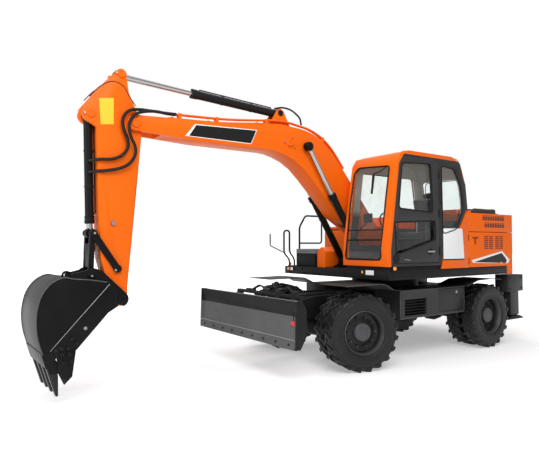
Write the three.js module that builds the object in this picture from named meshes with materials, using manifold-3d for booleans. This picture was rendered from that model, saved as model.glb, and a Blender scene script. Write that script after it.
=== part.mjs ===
// Wheeled excavator with a front blade, rear outriggers, one-piece boom, arm and bucket.
// Millimetres, +X forward, +Y to the machine's left, +Z up. Ground at z = 0.
import * as THREE from 'three';
import { mergeVertices } from 'three/addons/utils/BufferGeometryUtils.js';
import Module from 'manifold-3d';

const wasm = await Module();
wasm.setup();

// ---------------------------------------------------------------- driving dimensions
const seat = 0.3; // gap left between pieces that rest on each other
const pinGap = 0.8; // side clearance at pins
const pinBore = (30 + pinGap) / Math.cos(Math.PI / 12); // clears a turning 12-sided pin
const halfWheelbase = 1400;
const wheelFacets = 24; // sides of a tyre and of its rim
const tyreRadius = 525;
const tyreWidth = 262;
const twinGap = 34;
const halfTrack = 1247; // outside of the outer tyre
const rimRadius = 300;
const kingpinY = 760;
const steerAtRest = -16.7; // degrees, both front wheels turned to the right
const hullHalfWidth = 330;
const hullBottom = 640;
const hullTop = 960;
const hullFront = 1990;
const hullOverhang = 750; // behind the rear axle
const hullRear = -halfWheelbase - hullOverhang;
const hullPlate = 14;
const swingX = -150; // slewing axis
const swingRadius = 560;
const deckBottom = 1211;
const deckTop = 1338;
const deckFront = 1078;
const deckRear = -1900;
const halfWidth = 1240; // house
const deckPlate = 14;
const tailCorner = 1937.11125132; // slewing axis to the counterweight's rear corners, along X
const tailRadius = Math.hypot(halfWidth, tailCorner); // counterweight back, about the slewing axis
const hoodBottom = 1930;
const hoodTop = 2236;
const hoodFront = -800;
const hoodSheet = 10;
const counterweightFront = -2090;
const sideBoxFront = 700;
const sideBoxRear = -850;
const sideBoxOuter = 1100;
const sideBoxBottom = 620;
const sideBoxTop = 1040;
const sideBoxInner = 605;
const guardTop = 1165;
const sheet = 8; // fenders, guards and box walls
const bladeFace = 2690;
const bladeBottom = 436;
const bladeHeight = 593;
const bladeHalfWidth = 1245;
const bladeArmPivot = [2060, 520]; // lower arms on the chassis
const bladeLinkRise = 200; // upper links above the lower arms
const bladeArmReach = [500, 180]; // from the chassis pin to the blade pin
const bladeArmInset = 70; // side of the hull to the middle of a lower arm
const bladeArmY = hullHalfWidth - bladeArmInset;
const bladeRamBase = [2010, 1060];
const bladeRamPin = [2560, 930];
const bladeRamInset = 110; // lower arm's middle to the cylinder's
const bladeRamY = bladeArmY - bladeRamInset;
const outriggerOverhang = 835; // behind the rear axle
const outriggerX = -halfWheelbase - outriggerOverhang;
const outriggerY = 1080;
const padBottom = 395;
const boomHalfWidth = 170;
const boomRamSide = 78; // side of the boom to the middle of a lift cylinder
const boomRamY = boomHalfWidth + boomRamSide;
const coverGap = 77; // middle of a lift cylinder to the cover at the boom foot
const cabSideGap = 64; // middle of a lift cylinder to the cab
const cabRight = boomRamY + cabSideGap;
const cabLeft = 1240;
const cabBottom = 1402;
const cabRear = -770;
const cabWall = 45;
const glassThick = 6;
const boomPlate = 12;
const boomFoot = [30, 1665];
const boomTip = [4325, 3190];
const boomRamPin = [1730, 3180];
const boomRamBase = [600, 1450];
const armHalfWidth = 115;
const armPlate = 12;
const armRamPin = [4490, 3768];
const armRamBase = [2131, 3655];
const bucketPin = [4470, 1076];
const rockerPin = [4515, 1435];
const linkTopPin = [4800, 1852];
const linkBottomPin = [4812, 1370];
const bucketRamPin = [4845, 3235];
const bucketHalfWidth = 400;
const bucketPlate = 16;

// ---------------------------------------------------------------- finishes
const paint = (color, roughness, metalness) => new THREE.MeshStandardMaterial({ color, roughness,
  metalness });
const orange = paint(0xf2660f, 0.4, 0.1);
const darkGrey = paint(0x2b2c2e, 0.55, 0.2);
const bladeGrey = paint(0x55565a, 0.5, 0.3);
const black = paint(0x151516, 0.5, 0.2);
const tyreBlack = paint(0x1b1b1c, 0.9, 0.0);
const rimGrey = paint(0x3a3b3e, 0.5, 0.4);
const chrome = paint(0xd0d2d4, 0.12, 1.0);
const glass = new THREE.MeshStandardMaterial({
  color: 0xbfd0cc, roughness: 0.05, metalness: 0, transparent: true, opacity: 0.35,
});
const fabric = paint(0x26272a, 0.9, 0.0);

// ---------------------------------------------------------------- shape helpers
function solid(geometry) {
  const plain = geometry.clone();
  plain.deleteAttribute('normal');
  plain.deleteAttribute('uv');
  const merged = mergeVertices(plain, 1e-3);
  return new wasm.Manifold(new wasm.Mesh({
    numProp: 3,
    vertProperties: Float32Array.from(merged.attributes.position.array),
    triVerts: Uint32Array.from(merged.index.array),
  }));
}

const join = (first, ...rest) => rest.reduce((sum, piece) => sum.add(piece), first);
const cut = (first, ...rest) => rest.reduce((left, piece) => left.subtract(piece), first);

// [x, y] points, with rounded corners where a radius is given
function outline(points, radius = 0) {
  const corners = points.map(([x, y]) => new THREE.Vector2(x, y));
  if (!radius) return new THREE.Shape(corners);
  const shape = new THREE.Shape();
  corners.forEach((corner, i) => {
    const before = corners[(i + corners.length - 1) % corners.length];
    const after = corners[(i + 1) % corners.length];
    const inLength = before.distanceTo(corner);
    const outLength = after.distanceTo(corner);
    const reach = Math.min(radius, inLength * 0.45, outLength * 0.45);
    const start = corner.clone().lerp(before, reach / inLength);
    const end = corner.clone().lerp(after, reach / outLength);
    if (i === 0) shape.moveTo(start.x, start.y);
    else shape.lineTo(start.x, start.y);
    shape.quadraticCurveTo(corner.x, corner.y, end.x, end.y);
  });
  shape.closePath();
  return shape;
}

// outline in the plane across the axis: (x, z) for 'y', (y, z) for 'x', (x, y) for 'z'
function prism(axis, points, from, to, radius = 0, curveSegments = 3) {
  const shape = points instanceof THREE.Shape ? points : outline(points, radius);
  const geometry = new THREE.ExtrudeGeometry(shape, { depth: to - from, bevelEnabled: false,
    curveSegments });
  if (axis === 'y') geometry.rotateX(Math.PI / 2).translate(0, to, 0);
  if (axis === 'x') {
    geometry.applyMatrix4(new THREE.Matrix4().makeBasis(
      new THREE.Vector3(0, 1, 0), new THREE.Vector3(0, 0, 1), new THREE.Vector3(1, 0, 0)));
    geometry.translate(from, 0, 0);
  }
  if (axis === 'z') geometry.translate(0, 0, from);
  return solid(geometry);
}

function block(x0, x1, y0, y1, z0, z1) {
  const geometry = new THREE.BoxGeometry(x1 - x0, y1 - y0, z1 - z0);
  return solid(geometry.translate((x0 + x1) / 2, (y0 + y1) / 2, (z0 + z1) / 2));
}

// round bar along an axis through (a, b): (y, z) for 'x', (x, z) for 'y', (x, y) for 'z'
function rod(axis, radius, from, to, a, b, sides = 12) {
  const geometry = new THREE.CylinderGeometry(radius, radius, to - from, sides);
  const middle = (from + to) / 2;
  if (axis === 'x') geometry.rotateZ(Math.PI / 2).translate(middle, a, b);
  if (axis === 'y') geometry.translate(a, middle, b);
  if (axis === 'z') geometry.rotateX(Math.PI / 2).translate(a, b, middle);
  return solid(geometry);
}

// round bar between two points of the x-z plane at a given y
function strut(radius, [x0, z0], [x1, z1], y, sides = 12) {
  const length = Math.hypot(x1 - x0, z1 - z0);
  const geometry = new THREE.CylinderGeometry(radius, radius, length, sides);
  geometry.rotateX(Math.PI / 2).rotateY(Math.atan2(x1 - x0, z1 - z0));
  return solid(geometry.translate((x0 + x1) / 2, y, (z0 + z1) / 2));
}

// route of a bent tube: only its bends are rounded, with the stations given
class Route extends THREE.Curve {
  constructor(stations) {
    super();
    this.stations = stations;
  }

  getPoint(t) {
    const at = t * (this.stations.length - 1);
    const i = Math.min(Math.floor(at), this.stations.length - 2);
    return this.stations[i].clone().lerp(this.stations[i + 1], at - i);
  }

  getPointAt(t) {
    return this.getPoint(t);
  }

  getTangentAt(t) {
    return this.getTangent(t);
  }
}

function tube(radius, points, sides = 6, bend = 45) {
  const corners = points.map((p) => new THREE.Vector3(...p));
  const last = corners.length - 1;
  const stations = corners.flatMap((corner, i) => {
    if (i === 0 || i === last) return [corner];
    const start = corner.clone().lerp(corners[i - 1], bend / corner.distanceTo(corners[i - 1]));
    const end = corner.clone().lerp(corners[i + 1], bend / corner.distanceTo(corners[i + 1]));
    return new THREE.QuadraticBezierCurve3(start, corner, end).getPoints(3);
  });
  const round = new THREE.Shape(Array.from({ length: sides }, (_, i) => new THREE.Vector2(
    radius * Math.cos((2 * Math.PI * i) / sides), radius * Math.sin((2 * Math.PI * i) / sides))));
  return solid(new THREE.ExtrudeGeometry(round, {
    steps: stations.length - 1, extrudePath: new Route(stations), bevelEnabled: false,
  }));
}

// ring or disc turned about a line along Y through (x, z); profile of [radius, y] points
function turned(profile, x, z, sides, phase = 0) {
  const points = profile.map(([r, y]) => new THREE.Vector2(r, y));
  const geometry = new THREE.LatheGeometry(points, sides);
  return solid(geometry.rotateY(phase).translate(x, 0, z));
}

function surface(shape) {
  const mesh = shape.getMesh();
  const geometry = new THREE.BufferGeometry();
  geometry.setAttribute('position', new THREE.BufferAttribute(new Float32Array(mesh.vertProperties), 3));
  geometry.setIndex(new THREE.BufferAttribute(new Uint32Array(mesh.triVerts), 1));
  return geometry;
}

// the same shape on the machine's other side
function mirrored(shape) {
  const geometry = surface(shape).scale(1, -1, 1);
  const index = geometry.index.array;
  for (let i = 0; i < index.length; i += 3) [index[i], index[i + 1]] = [index[i + 1], index[i]];
  return solid(geometry);
}
const bothSides = (shape) => shape.add(mirrored(shape));

const machine = new THREE.Group();

function piece(name, shape, material, parent = machine) {
  const geometry = surface(shape);
  geometry.computeVertexNormals();
  const node = new THREE.Mesh(geometry, material);
  node.name = name;
  parent.add(node);
  return node;
}

// ---------------------------------------------------------------- undercarriage
const kingpinHigh = 150; // half height of the knuckle
const yokeGap = 0.6;
const hubInner = 845; // inner end of the wheel's hub
const axleTube = 110;
const casingRadius = 200; // middle of the axle, under an arch of the frame

function chassisFrame() {
  const side = [
    [hullFront, 700], [hullFront, 900], [1700, hullTop], [hullRear, hullTop], [hullRear, 700],
    [-1750, hullBottom], [1750, hullBottom],
  ];
  const inner = [
    [hullFront + 50, 714], [hullFront + 50, 886], [1700, hullTop - hullPlate], [hullRear + hullPlate, 946],
    [hullRear + hullPlate, 714], [-1750, hullBottom + hullPlate], [1750, hullBottom + hullPlate],
  ];
  const box = cut(
    prism('y', side, -hullHalfWidth, hullHalfWidth),
    prism('y', inner, -hullHalfWidth + hullPlate, hullHalfWidth - hullPlate),
    ...[halfWheelbase, -halfWheelbase].map((x) => rod('y', casingRadius + 25, -212, 212, x, tyreRadius,
    16)));
  const ringTop = deckBottom - seat - 40;
  const ring = cut(
    rod('z', swingRadius, hullTop - 5, ringTop, swingX, 0, 24),
    rod('z', swingRadius - 60, hullTop - 20, ringTop + 10, swingX, 0, 24));
  const bearing = cut(
    rod('z', swingRadius + 25, ringTop - 30, deckBottom - seat, swingX, 0, 24),
    rod('z', swingRadius - 60, ringTop - 40, deckBottom, swingX, 0, 24));
  const wings = prism('z', [
    [swingX + 640, hullHalfWidth - 5], [swingX + 420, swingRadius + 20], [swingX - 420, swingRadius + 20],
    [swingX - 640, hullHalfWidth - 5],
  ], hullTop - 60, hullTop);
  const [pinX, pinZ] = bladeArmPivot;
  const bladeEars = [-30, 30].map((dy) => prism('y', [
    [pinX - 250, 720], [pinX - 55, pinZ - 40], [pinX, pinZ - 58], [pinX + 55, pinZ - 40],
    [pinX + 62, pinZ + bladeLinkRise + 55], [pinX - 55, pinZ + bladeLinkRise + 62], [pinX - 250, 860],
  ], bladeArmY + dy - 12, bladeArmY + dy + 12));
  const [ramX, ramZ] = bladeRamBase;
  const lugMiddle = bladeRamLugY + 8;
  const ramEars = [-lugMiddle, lugMiddle].map((dy) => prism('y', [
    [ramX - 200, 880], [hullFront - 4, 880], [ramX + 50, ramZ - 30], [ramX + 35, ramZ + 45],
    [ramX - 35, ramZ + 45],
    [ramX - 80, ramZ - 30],
  ], bladeRamY + dy - 8, bladeRamY + dy + 8));
  return join(box, ring, bearing, bothSides(wings), ...bladeEars.map(bothSides), ...ramEars.map(bothSides));
}

function axle(x, yokes) {
  const beam = join(
    rod('y', axleTube, -570, 570, x, tyreRadius),
    turned([[0, -200], [150, -185], [casingRadius, -70], [casingRadius, 70], [150, 185], [0, 200]],
      x, tyreRadius, 16),
    bothSides(block(x - 130, x + 130, 225, 300, tyreRadius + 40, hullBottom - seat)));
  if (!yokes) {
    const housing = rod('y', 150, 500, hubInner - seat, x, tyreRadius, 16);
    const shaft = rod('x', 42, x + 150, halfWheelbase - casingRadius - seat, 0, tyreRadius);
    const gearbox = block(-640, -250, -150, 150, tyreRadius - 110, hullBottom - seat);
    return join(beam, shaft, gearbox, bothSides(housing));
  }
  const fork = cut(
    block(x - 118, x + 118, 526, kingpinY + 50, tyreRadius - kingpinHigh - 30,
      tyreRadius + kingpinHigh + 30),
    block(x - 130, x + 130, 640, kingpinY + 60,
      tyreRadius - kingpinHigh - yokeGap, tyreRadius + kingpinHigh + yokeGap));
  return join(beam, bothSides(fork));
}

function knuckle() {
  const post = rod('z', 60, tyreRadius - kingpinHigh, tyreRadius + kingpinHigh, halfWheelbase, kingpinY, 16);
  const spindle = rod('y', 120, kingpinY - 20, hubInner - seat, halfWheelbase, tyreRadius, 16);
  return join(post, spindle);
}

// twin tyres joined by the spacer ring between their beads
function twinTyres(x) {
  const flat = 1 / Math.cos(Math.PI / wheelFacets);
  const outer = halfTrack;
  const innerFace = halfTrack - 2 * tyreWidth - twinGap;
  const section = (face, turn) => [
    [rimRadius, face - turn * 22], [rimRadius + 90, face], [tyreRadius - 40, face - turn * 3],
    [tyreRadius, face - turn * 30],
  ];
  const profile = [
    ...section(outer, 1),
    [tyreRadius, outer - tyreWidth + 26], [rimRadius + 90, outer - tyreWidth],
    [rimRadius + 90, innerFace + tyreWidth], [tyreRadius, innerFace + tyreWidth - 26],
    ...section(innerFace, -1).reverse(),
  ];
  const ring = [...profile, profile[0]].reverse().map(([r, y]) => [r * flat, y]);
  return turned(ring, x, tyreRadius, wheelFacets, Math.PI / wheelFacets);
}

function wheelRim(x) {
  const flat = 1 / Math.cos(Math.PI / wheelFacets);
  const outer = halfTrack - 12;
  const innerFace = halfTrack - 2 * tyreWidth - twinGap + 24;
  const wall = rimRadius - seat;
  const profile = [
    [0, hubInner], [135, hubInner], [135, outer - 150], [wall - 24, outer - 150], [wall - 24, innerFace],
    [wall, innerFace], [wall, outer], [wall - 22, outer], [wall - 30, outer - 130], [132, outer - 115],
    [88, outer - 62], [0, outer - 45],
  ].map(([r, y]) => [r * flat, y]);
  return turned(profile, x, tyreRadius, wheelFacets, Math.PI / wheelFacets);
}

function sideBox() {
  const walls = cut(
    block(sideBoxRear, sideBoxFront, sideBoxInner, sideBoxOuter, sideBoxBottom, sideBoxTop),
    block(sideBoxRear + sheet, -190, sideBoxInner + sheet, sideBoxOuter + 10, sideBoxBottom + 40,
      sideBoxTop - 20),
    block(-170, 80, sideBoxInner + sheet, sideBoxOuter - sheet, sideBoxBottom - 10, sideBoxTop - sheet),
    block(100, 600, sideBoxOuter - 220, sideBoxOuter + 10, sideBoxBottom + 40, 900),
    block(100, 600, sideBoxInner + sheet, sideBoxOuter - 240, sideBoxBottom - 10, sideBoxTop - sheet));
  const brackets = [-600, 350].map((x) => block(x, x + 120, hullHalfWidth - 5, sideBoxInner + 5, 740, 860));
  const frontGuard = prism('y', [
    [sideBoxFront - 20, sideBoxTop - 5], [sideBoxFront, sideBoxTop - 5], [930, sideBoxTop + 25],
    [1130, guardTop - sheet], [1850, guardTop - sheet], [1850, guardTop], [1127, guardTop],
    [925, sideBoxTop + 34], [sideBoxFront - 20, sideBoxTop + 4],
  ], 600, 1190);
  const rearGuard = prism('y', [
    [sideBoxRear + 30, sideBoxTop - 5], [sideBoxRear, sideBoxTop - 5], [-930, sideBoxTop + 25],
    [-1120, 1120], [-1560, 1130], [-1800, 1108], [-1800, 1116], [-1560, 1138],
    [-1117, 1128], [-925, sideBoxTop + 34], [sideBoxRear + 30, sideBoxTop + 4],
  ], 600, 1190);
  return join(walls, frontGuard, rearGuard, ...brackets.map((b) => cut(b, block(
    -2000, 2000, -hullHalfWidth, hullHalfWidth + seat, 0, 2000))));
}

function boxDoor() {
  const face = block(sideBoxRear + 14, -190 - pinGap, sideBoxOuter - 26, sideBoxOuter, sideBoxBottom + 46,
    sideBoxTop - 26);
  const handle = block(-720, -640, sideBoxOuter - 5, sideBoxOuter + 16, 880, 905);
  return join(face, handle);
}

function outriggerBeam() {
  const beam = cut(
    block(outriggerX - 105, outriggerX + 85, -960, 960, 700, 930),
    block(outriggerX - 93, outriggerX + 73, -970, 970, 712, 918));
  const housing = cut(
    block(outriggerX - 130, outriggerX + 130, outriggerY - 100, outriggerY + 100, 470, 900),
    block(outriggerX - 112, outriggerX + 112, outriggerY - 82, outriggerY + 82, 460, 910));
  const cap = cut(
    block(outriggerX - 245, outriggerX + 245, outriggerY - 130, outriggerY + 120, 885, 1180),
    block(outriggerX - 235, outriggerX + 235, outriggerY - 120, outriggerY + 110, 875, 1168));
  const shelf = cut(
    block(outriggerX - 245, outriggerX + 245, outriggerY - 130, outriggerY + 120, 885, 897),
    block(outriggerX - 112, outriggerX + 112, outriggerY - 82, outriggerY + 82, 880, 900));
  return join(beam, bothSides(join(housing, cap, shelf)));
}

function outriggerLeg() {
  const slide = 0.8;
  const leg = cut(
    block(outriggerX - 112 + slide, outriggerX + 112 - slide, outriggerY - 82 + slide,
      outriggerY + 82 - slide,
      padBottom + 40, 1130),
    block(outriggerX - 92, outriggerX + 92, outriggerY - 62, outriggerY + 62, padBottom + 60, 1140));
  const pad = prism('y', [
    [outriggerX - 235, padBottom], [outriggerX + 235, padBottom], [outriggerX + 235, padBottom + 22],
    [outriggerX + 120, padBottom + 60], [outriggerX - 120, padBottom + 60],
    [outriggerX - 235, padBottom + 22],
  ], outriggerY - 130, outriggerY + 120);
  return join(leg, pad);
}


// ---------------------------------------------------------------- hydraulic cylinders
// barrel from its eye at base towards pin, gland at barrelLength; rod from inside the barrel to its eye
function ramBarrel(base, pin, y, { radius, rodRadius, barrelLength, eye, eyeWidth }) {
  const length = Math.hypot(pin[0] - base[0], pin[1] - base[1]);
  const along = (s) => [base[0] + ((pin[0] - base[0]) * s) / length,
    base[1] + ((pin[1] - base[1]) * s) / length];
  const wall = 9;
  return cut(
    join(
      rod('y', eye, y - eyeWidth / 2, y + eyeWidth / 2, base[0], base[1]),
      strut(radius, along(eye * 0.6), along(barrelLength), y),
      strut(radius + 7, along(barrelLength - 70), along(barrelLength), y)),
    strut(radius - wall, along(eye + 25), along(barrelLength - 30), y),
    strut(rodRadius + 1, along(barrelLength - 40), along(barrelLength + 10), y));
}

function ramRod(base, pin, y, { rodRadius, rodTail, eye, rodEyeWidth }) {
  const length = Math.hypot(pin[0] - base[0], pin[1] - base[1]);
  const along = (s) => [base[0] + ((pin[0] - base[0]) * s) / length,
    base[1] + ((pin[1] - base[1]) * s) / length];
  return join(
    rod('y', eye, y - rodEyeWidth / 2, y + rodEyeWidth / 2, pin[0], pin[1]),
    strut(rodRadius, along(rodTail), along(length - eye * 0.6), y));
}

const fitted = (halfGap) => 2 * (halfGap - pinGap); // width of an eye between two lugs
const armRamLugY = 64;
const armRodSlot = 50;
const bucketRamSlot = 62;
const linkCheekY = 80;
const bladeRamLugY = 51;
const bladeRodLugY = 42;
const boomRam = { radius: 50, rodRadius: 36, barrelLength: 1245, rodTail: 560, eye: 68, eyeWidth: 84,
  rodEyeWidth: 84 };
const armRam = {
  radius: 58, rodRadius: 38, barrelLength: 1400, rodTail: 765, eye: 66, eyeWidth: fitted(armRamLugY),
    rodEyeWidth: 88,
};
const bucketRam = {
  radius: 50, rodRadius: 34, barrelLength: 1275, rodTail: 130, eye: 60, eyeWidth: fitted(bucketRamSlot),
  rodEyeWidth: 78,
};
const bladeRam = {
  radius: 44, rodRadius: 28, barrelLength: 400, rodTail: 108, eye: 42, eyeWidth: fitted(bladeRamLugY),
    rodEyeWidth: 70,
};

// ---------------------------------------------------------------- blade
const bladeArmHalf = 18 - pinGap; // between ears 36 apart
const bladePin = [bladeArmPivot[0] + bladeArmReach[0], bladeArmPivot[1] + bladeArmReach[1]];

function linkBar(from, to, halfHeight, y0, y1) {
  const length = Math.hypot(to[0] - from[0], to[1] - from[1]);
  const nx = (-(to[1] - from[1]) / length) * halfHeight;
  const nz = ((to[0] - from[0]) / length) * halfHeight;
  return join(
    prism('y', [
      [from[0] - nx, from[1] - nz], [to[0] - nx, to[1] - nz], [to[0] + nx, to[1] + nz],
      [from[0] + nx, from[1] + nz],
    ], y0, y1),
    rod('y', halfHeight + 8, y0, y1, from[0], from[1]),
    rod('y', halfHeight + 8, y0, y1, to[0], to[1]));
}

function bladeArms() {
  const arm = linkBar(bladeArmPivot, bladePin, 40, bladeArmY - bladeArmHalf, bladeArmY + bladeArmHalf);
  const x = bladeArmPivot[0] + bladeArmReach[0] * 0.45;
  const z = bladeArmPivot[1] + bladeArmReach[1] * 0.45;
  return join(bothSides(arm), rod('y', 38, -bladeArmY, bladeArmY, x, z, 12));
}

function bladeLinks() {
  const from = [bladeArmPivot[0], bladeArmPivot[1] + bladeLinkRise];
  const to = [bladePin[0], bladePin[1] + bladeLinkRise];
  const link = linkBar(from, to, 26, bladeArmY - bladeArmHalf, bladeArmY + bladeArmHalf);
  const x = from[0] + bladeArmReach[0] * 0.35;
  const z = from[1] + bladeArmReach[1] * 0.35;
  return join(bothSides(link), rod('y', 22, -bladeArmY, bladeArmY, x, z, 12));
}

function bladeBody() {
  const top = bladeBottom + bladeHeight;
  const back = 24;
  const board = prism('y', [
    [bladeFace + 42, bladeBottom], [bladeFace + 8, bladeBottom + 120], [bladeFace - 8, bladeBottom + 260],
    [bladeFace - 6, bladeBottom + 400], [bladeFace + 10, top - 60], [bladeFace + 26, top],
    [bladeFace + 26 - back, top], [bladeFace - 16, top - 70], [bladeFace - 8 - back, bladeBottom + 260],
    [bladeFace - 18, bladeBottom + 120], [bladeFace + 18, bladeBottom],
  ], -bladeHalfWidth, bladeHalfWidth);
  const sidePlate = prism('y', [
    [bladeFace + 42, bladeBottom], [bladeFace + 30, top], [bladeFace - 60, top],
    [bladeFace - 130, top - 120],
    [bladeFace - 130, bladeBottom + 150], [bladeFace - 40, bladeBottom],
  ], bladeHalfWidth - 18, bladeHalfWidth);
  const ribs = [560, 880].map((y) => prism('y', [
    [bladeFace - 5, bladeBottom + 30], [bladeFace - 5, top - 30], [bladeFace - 80, top - 90],
    [bladeFace - 80, bladeBottom + 140],
  ], y - 7, y + 7));
  const spine = cut(
    block(bladeFace - 66, bladeFace - 20, -bladeHalfWidth + 10, bladeHalfWidth - 10, 640, 760),
    block(bladeFace - 56, bladeFace - 30, -bladeHalfWidth, bladeHalfWidth, 620, 750));
  const pinEars = [-30, 30].map((dy) => prism('y', [
    [bladeFace - 20, bladePin[1] - 90], [bladeFace - 20, bladePin[1] + bladeLinkRise + 60],
    [bladePin[0] - 35, bladePin[1] + bladeLinkRise + 45], [bladePin[0] - 50, bladePin[1] + bladeLinkRise],
    [bladePin[0] - 50, bladePin[1]], [bladePin[0] - 30, bladePin[1] - 50],
  ], bladeArmY + dy - 12, bladeArmY + dy + 12));
  const lugMiddle = bladeRodLugY + 7;
  const ramEars = [-lugMiddle, lugMiddle].map((dy) => prism('y', [
    [bladeFace - 20, bladeRamPin[1] - 110], [bladeFace - 20, bladeRamPin[1] + 60],
    [bladeRamPin[0], bladeRamPin[1] + 45], [bladeRamPin[0] - 42, bladeRamPin[1]],
    [bladeRamPin[0], bladeRamPin[1] - 45],
  ], bladeRamY + dy - 7, bladeRamY + dy + 7));
  return join(board, spine, bothSides(sidePlate), ...ribs.map(bothSides), ...pinEars.map(bothSides),
    ...ramEars.map(bothSides));
}

// ---------------------------------------------------------------- upper structure
// counterweight and hood share one outline seen from above: straight sides and a round back
function tailOutline(front, inset = 0) {
  const radius = tailRadius - inset;
  const half = halfWidth - inset;
  const spread = Math.asin(half / radius);
  const steps = 10;
  const back = Array.from({ length: steps + 1 }, (_, i) => {
    const angle = Math.PI - spread + (2 * spread * i) / steps;
    return [swingX + radius * Math.cos(angle), radius * Math.sin(angle)];
  });
  return [[front, half], ...back, [front, -half]];
}

function upperFrame() {
  const slab = block(deckRear, deckFront, -halfWidth, halfWidth, deckBottom, deckTop);
  const pockets = [[200, 700], [720, halfWidth - deckPlate]].flatMap(([y0, y1]) => [[520,
    deckFront - deckPlate],
    [deckRear + deckPlate, -820]].map(([x0, x1]) => block(x0, x1, y0, y1, deckBottom - 10,
    deckTop - deckPlate)));
  const middle = block(-800, 500, 720, halfWidth - deckPlate, deckBottom - 10, deckTop - deckPlate);
  const centre = [[630, deckFront - deckPlate], [deckRear + deckPlate, -820]].map(([x0, x1]) => block(
    x0, x1, -180, 180, deckBottom - 10, deckTop - deckPlate));
  const plinth = cut(
    block(-700, 1050, cabRight + 30, cabLeft - 30, deckTop - 5, cabBottom - seat),
    block(-680, 1030, cabRight + 50, cabLeft - 50, deckTop - 20, cabBottom - 10));
  const [footX, footZ] = boomFoot;
  const lug = prism('y', [
    [footX - 330, deckTop - 10], [footX + 900, deckTop - 10], [footX + 700, 1420], [footX + 250, 1500],
    [footX + 130, footZ + 30], [footX + 60, footZ + 115], [footX - 60, footZ + 115],
    [footX - 130, footZ + 30],
  ], boomHalfWidth + pinGap, boomHalfWidth + 20);
  const ramPin = join(
    rod('y', 30, boomHalfWidth + 5, boomRamY + 47, boomRamBase[0], boomRamBase[1]),
    rod('y', 36, boomHalfWidth + 5, boomRamY - boomRam.eyeWidth / 2 - pinGap, boomRamBase[0],
      boomRamBase[1]));
  const ramLug = prism('y', [
    [boomRamBase[0] - 130, deckTop - 10], [boomRamBase[0] + 170, deckTop - 10],
    [boomRamBase[0] + 60, boomRamBase[1] + 20], [boomRamBase[0], boomRamBase[1] + 62],
    [boomRamBase[0] - 60, boomRamBase[1] + 20],
  ], boomHalfWidth + pinGap, boomHalfWidth + 20);
  const hub = cut(
    rod('z', swingRadius - 64, 1150, deckBottom + 5, swingX, 0, 24),
    rod('z', swingRadius - 110, 1100, deckTop - deckPlate, swingX, 0, 24));
  return join(
    cut(join(slab, plinth), ...pockets, ...pockets.map(mirrored), middle, mirrored(middle), ...centre,
      block(-680, 1030, cabRight + 50, cabLeft - 50, deckTop - 20, cabBottom - 10)),
    hub, bothSides(lug), bothSides(ramLug), bothSides(ramPin));
}

const sideDoorRear = deckRear + 60;

function counterweight() {
  const top = hoodBottom - 5;
  const body = prism('z', tailOutline(deckRear - seat), deckBottom - 5, top);
  const hollow = block(counterweightFront, 0, -halfWidth + 60, halfWidth - 60, 0, top + 50);
  const doorPost = block(deckRear - 5, sideDoorRear - pinGap, halfWidth - 30, halfWidth, deckTop + 8, top);
  return join(cut(body, hollow), bothSides(doorPost));
}

function engineHood() {
  const shell = prism('z', tailOutline(hoodFront), hoodBottom, hoodTop);
  const inside = prism('z', tailOutline(hoodFront - hoodSheet, hoodSheet), hoodBottom - 10,
    hoodTop - hoodSheet);
  const topCover = block(hoodFront - 480, hoodFront - 60, 300, 960, hoodTop - 5, hoodTop + 70);
  return join(cut(shell, inside), topCover);
}

function engineHousing() {
  const wall = block(hoodFront + pinGap, hoodFront + 9, -halfWidth + 4, halfWidth - 4, deckTop + seat,
    hoodBottom - 5);
  const left = prism('y', [
    [-95, deckTop + 7], [-190, 1627], [-600, 2023], [-735, hoodTop - 6], [hoodFront + pinGap, hoodTop - 6],
    [hoodFront + pinGap, deckTop + 7],
  ], halfWidth - 24, halfWidth);
  const rightPost = block(hoodFront + pinGap, hoodFront + 9, -halfWidth + 4, -halfWidth + 300,
    hoodBottom - 10,
    hoodTop - 6);
  return join(wall, left, rightPost);
}

function engineSideDoor() {
  const panel = block(sideDoorRear, hoodFront - 3, halfWidth - 24, halfWidth, deckTop + 8, hoodBottom - 8);
  const recess = block(deckRear + 80, hoodFront - 23, halfWidth - 30, halfWidth - 4, deckTop + 28,
    hoodBottom - 28);
  return cut(panel, recess);
}

// ---------------------------------------------------------------- cab
const cabProfile = [
  [1100, cabBottom], [1100, 1650], [1000, 2350], [900, 2930], [820, 3045], [650, 3098], [-380, 3103],
  [-590, 3020], [-720, 2700], [cabRear, 2300], [cabRear, cabBottom],
];
const cabInside = [
  [1055, cabBottom + cabWall], [1055, 1645], [955, 2340], [858, 2905], [790, 3000], [640, 3050],
  [-370, 3055],
  [-555, 2985], [-677, 2690], [cabRear + cabWall, 2295], [cabRear + cabWall, cabBottom + cabWall],
];
const doorOutline = [
  [1030, 1450], [1030, 1645], [932, 2330], [845, 2890], [760, 3010], [60, 3030], [-35, 2960], [-35, 1450],
];
const doorOpening = [
  [1030 + pinGap, 1444], [1030 + pinGap, 1646], [938, 2331], [851, 2893], [763, 3016], [58, 3036],
  [-41, 2964], [-41, 1444],
];

const quarterWindow = [[-110, 2940], [-430, 2915], [-590, 2660], [-650, 2300], [-480, 1960], [-130, 1880]];
const rearWindow = [[400, 2100], [1140, 2100], [1140, 2780], [400, 2780]];
const rightWindow = [[850, 1700], [780, 2250], [700, 2850], [-500, 2850], [-600, 2250], [-600, 1700]];

// windshield opening, seen from the front, and the slope it lies on
const windshieldOpening = [[370, 1500], [1100, 1500], [1110, 2860], [470, 2900], [385, 2820]];

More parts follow.
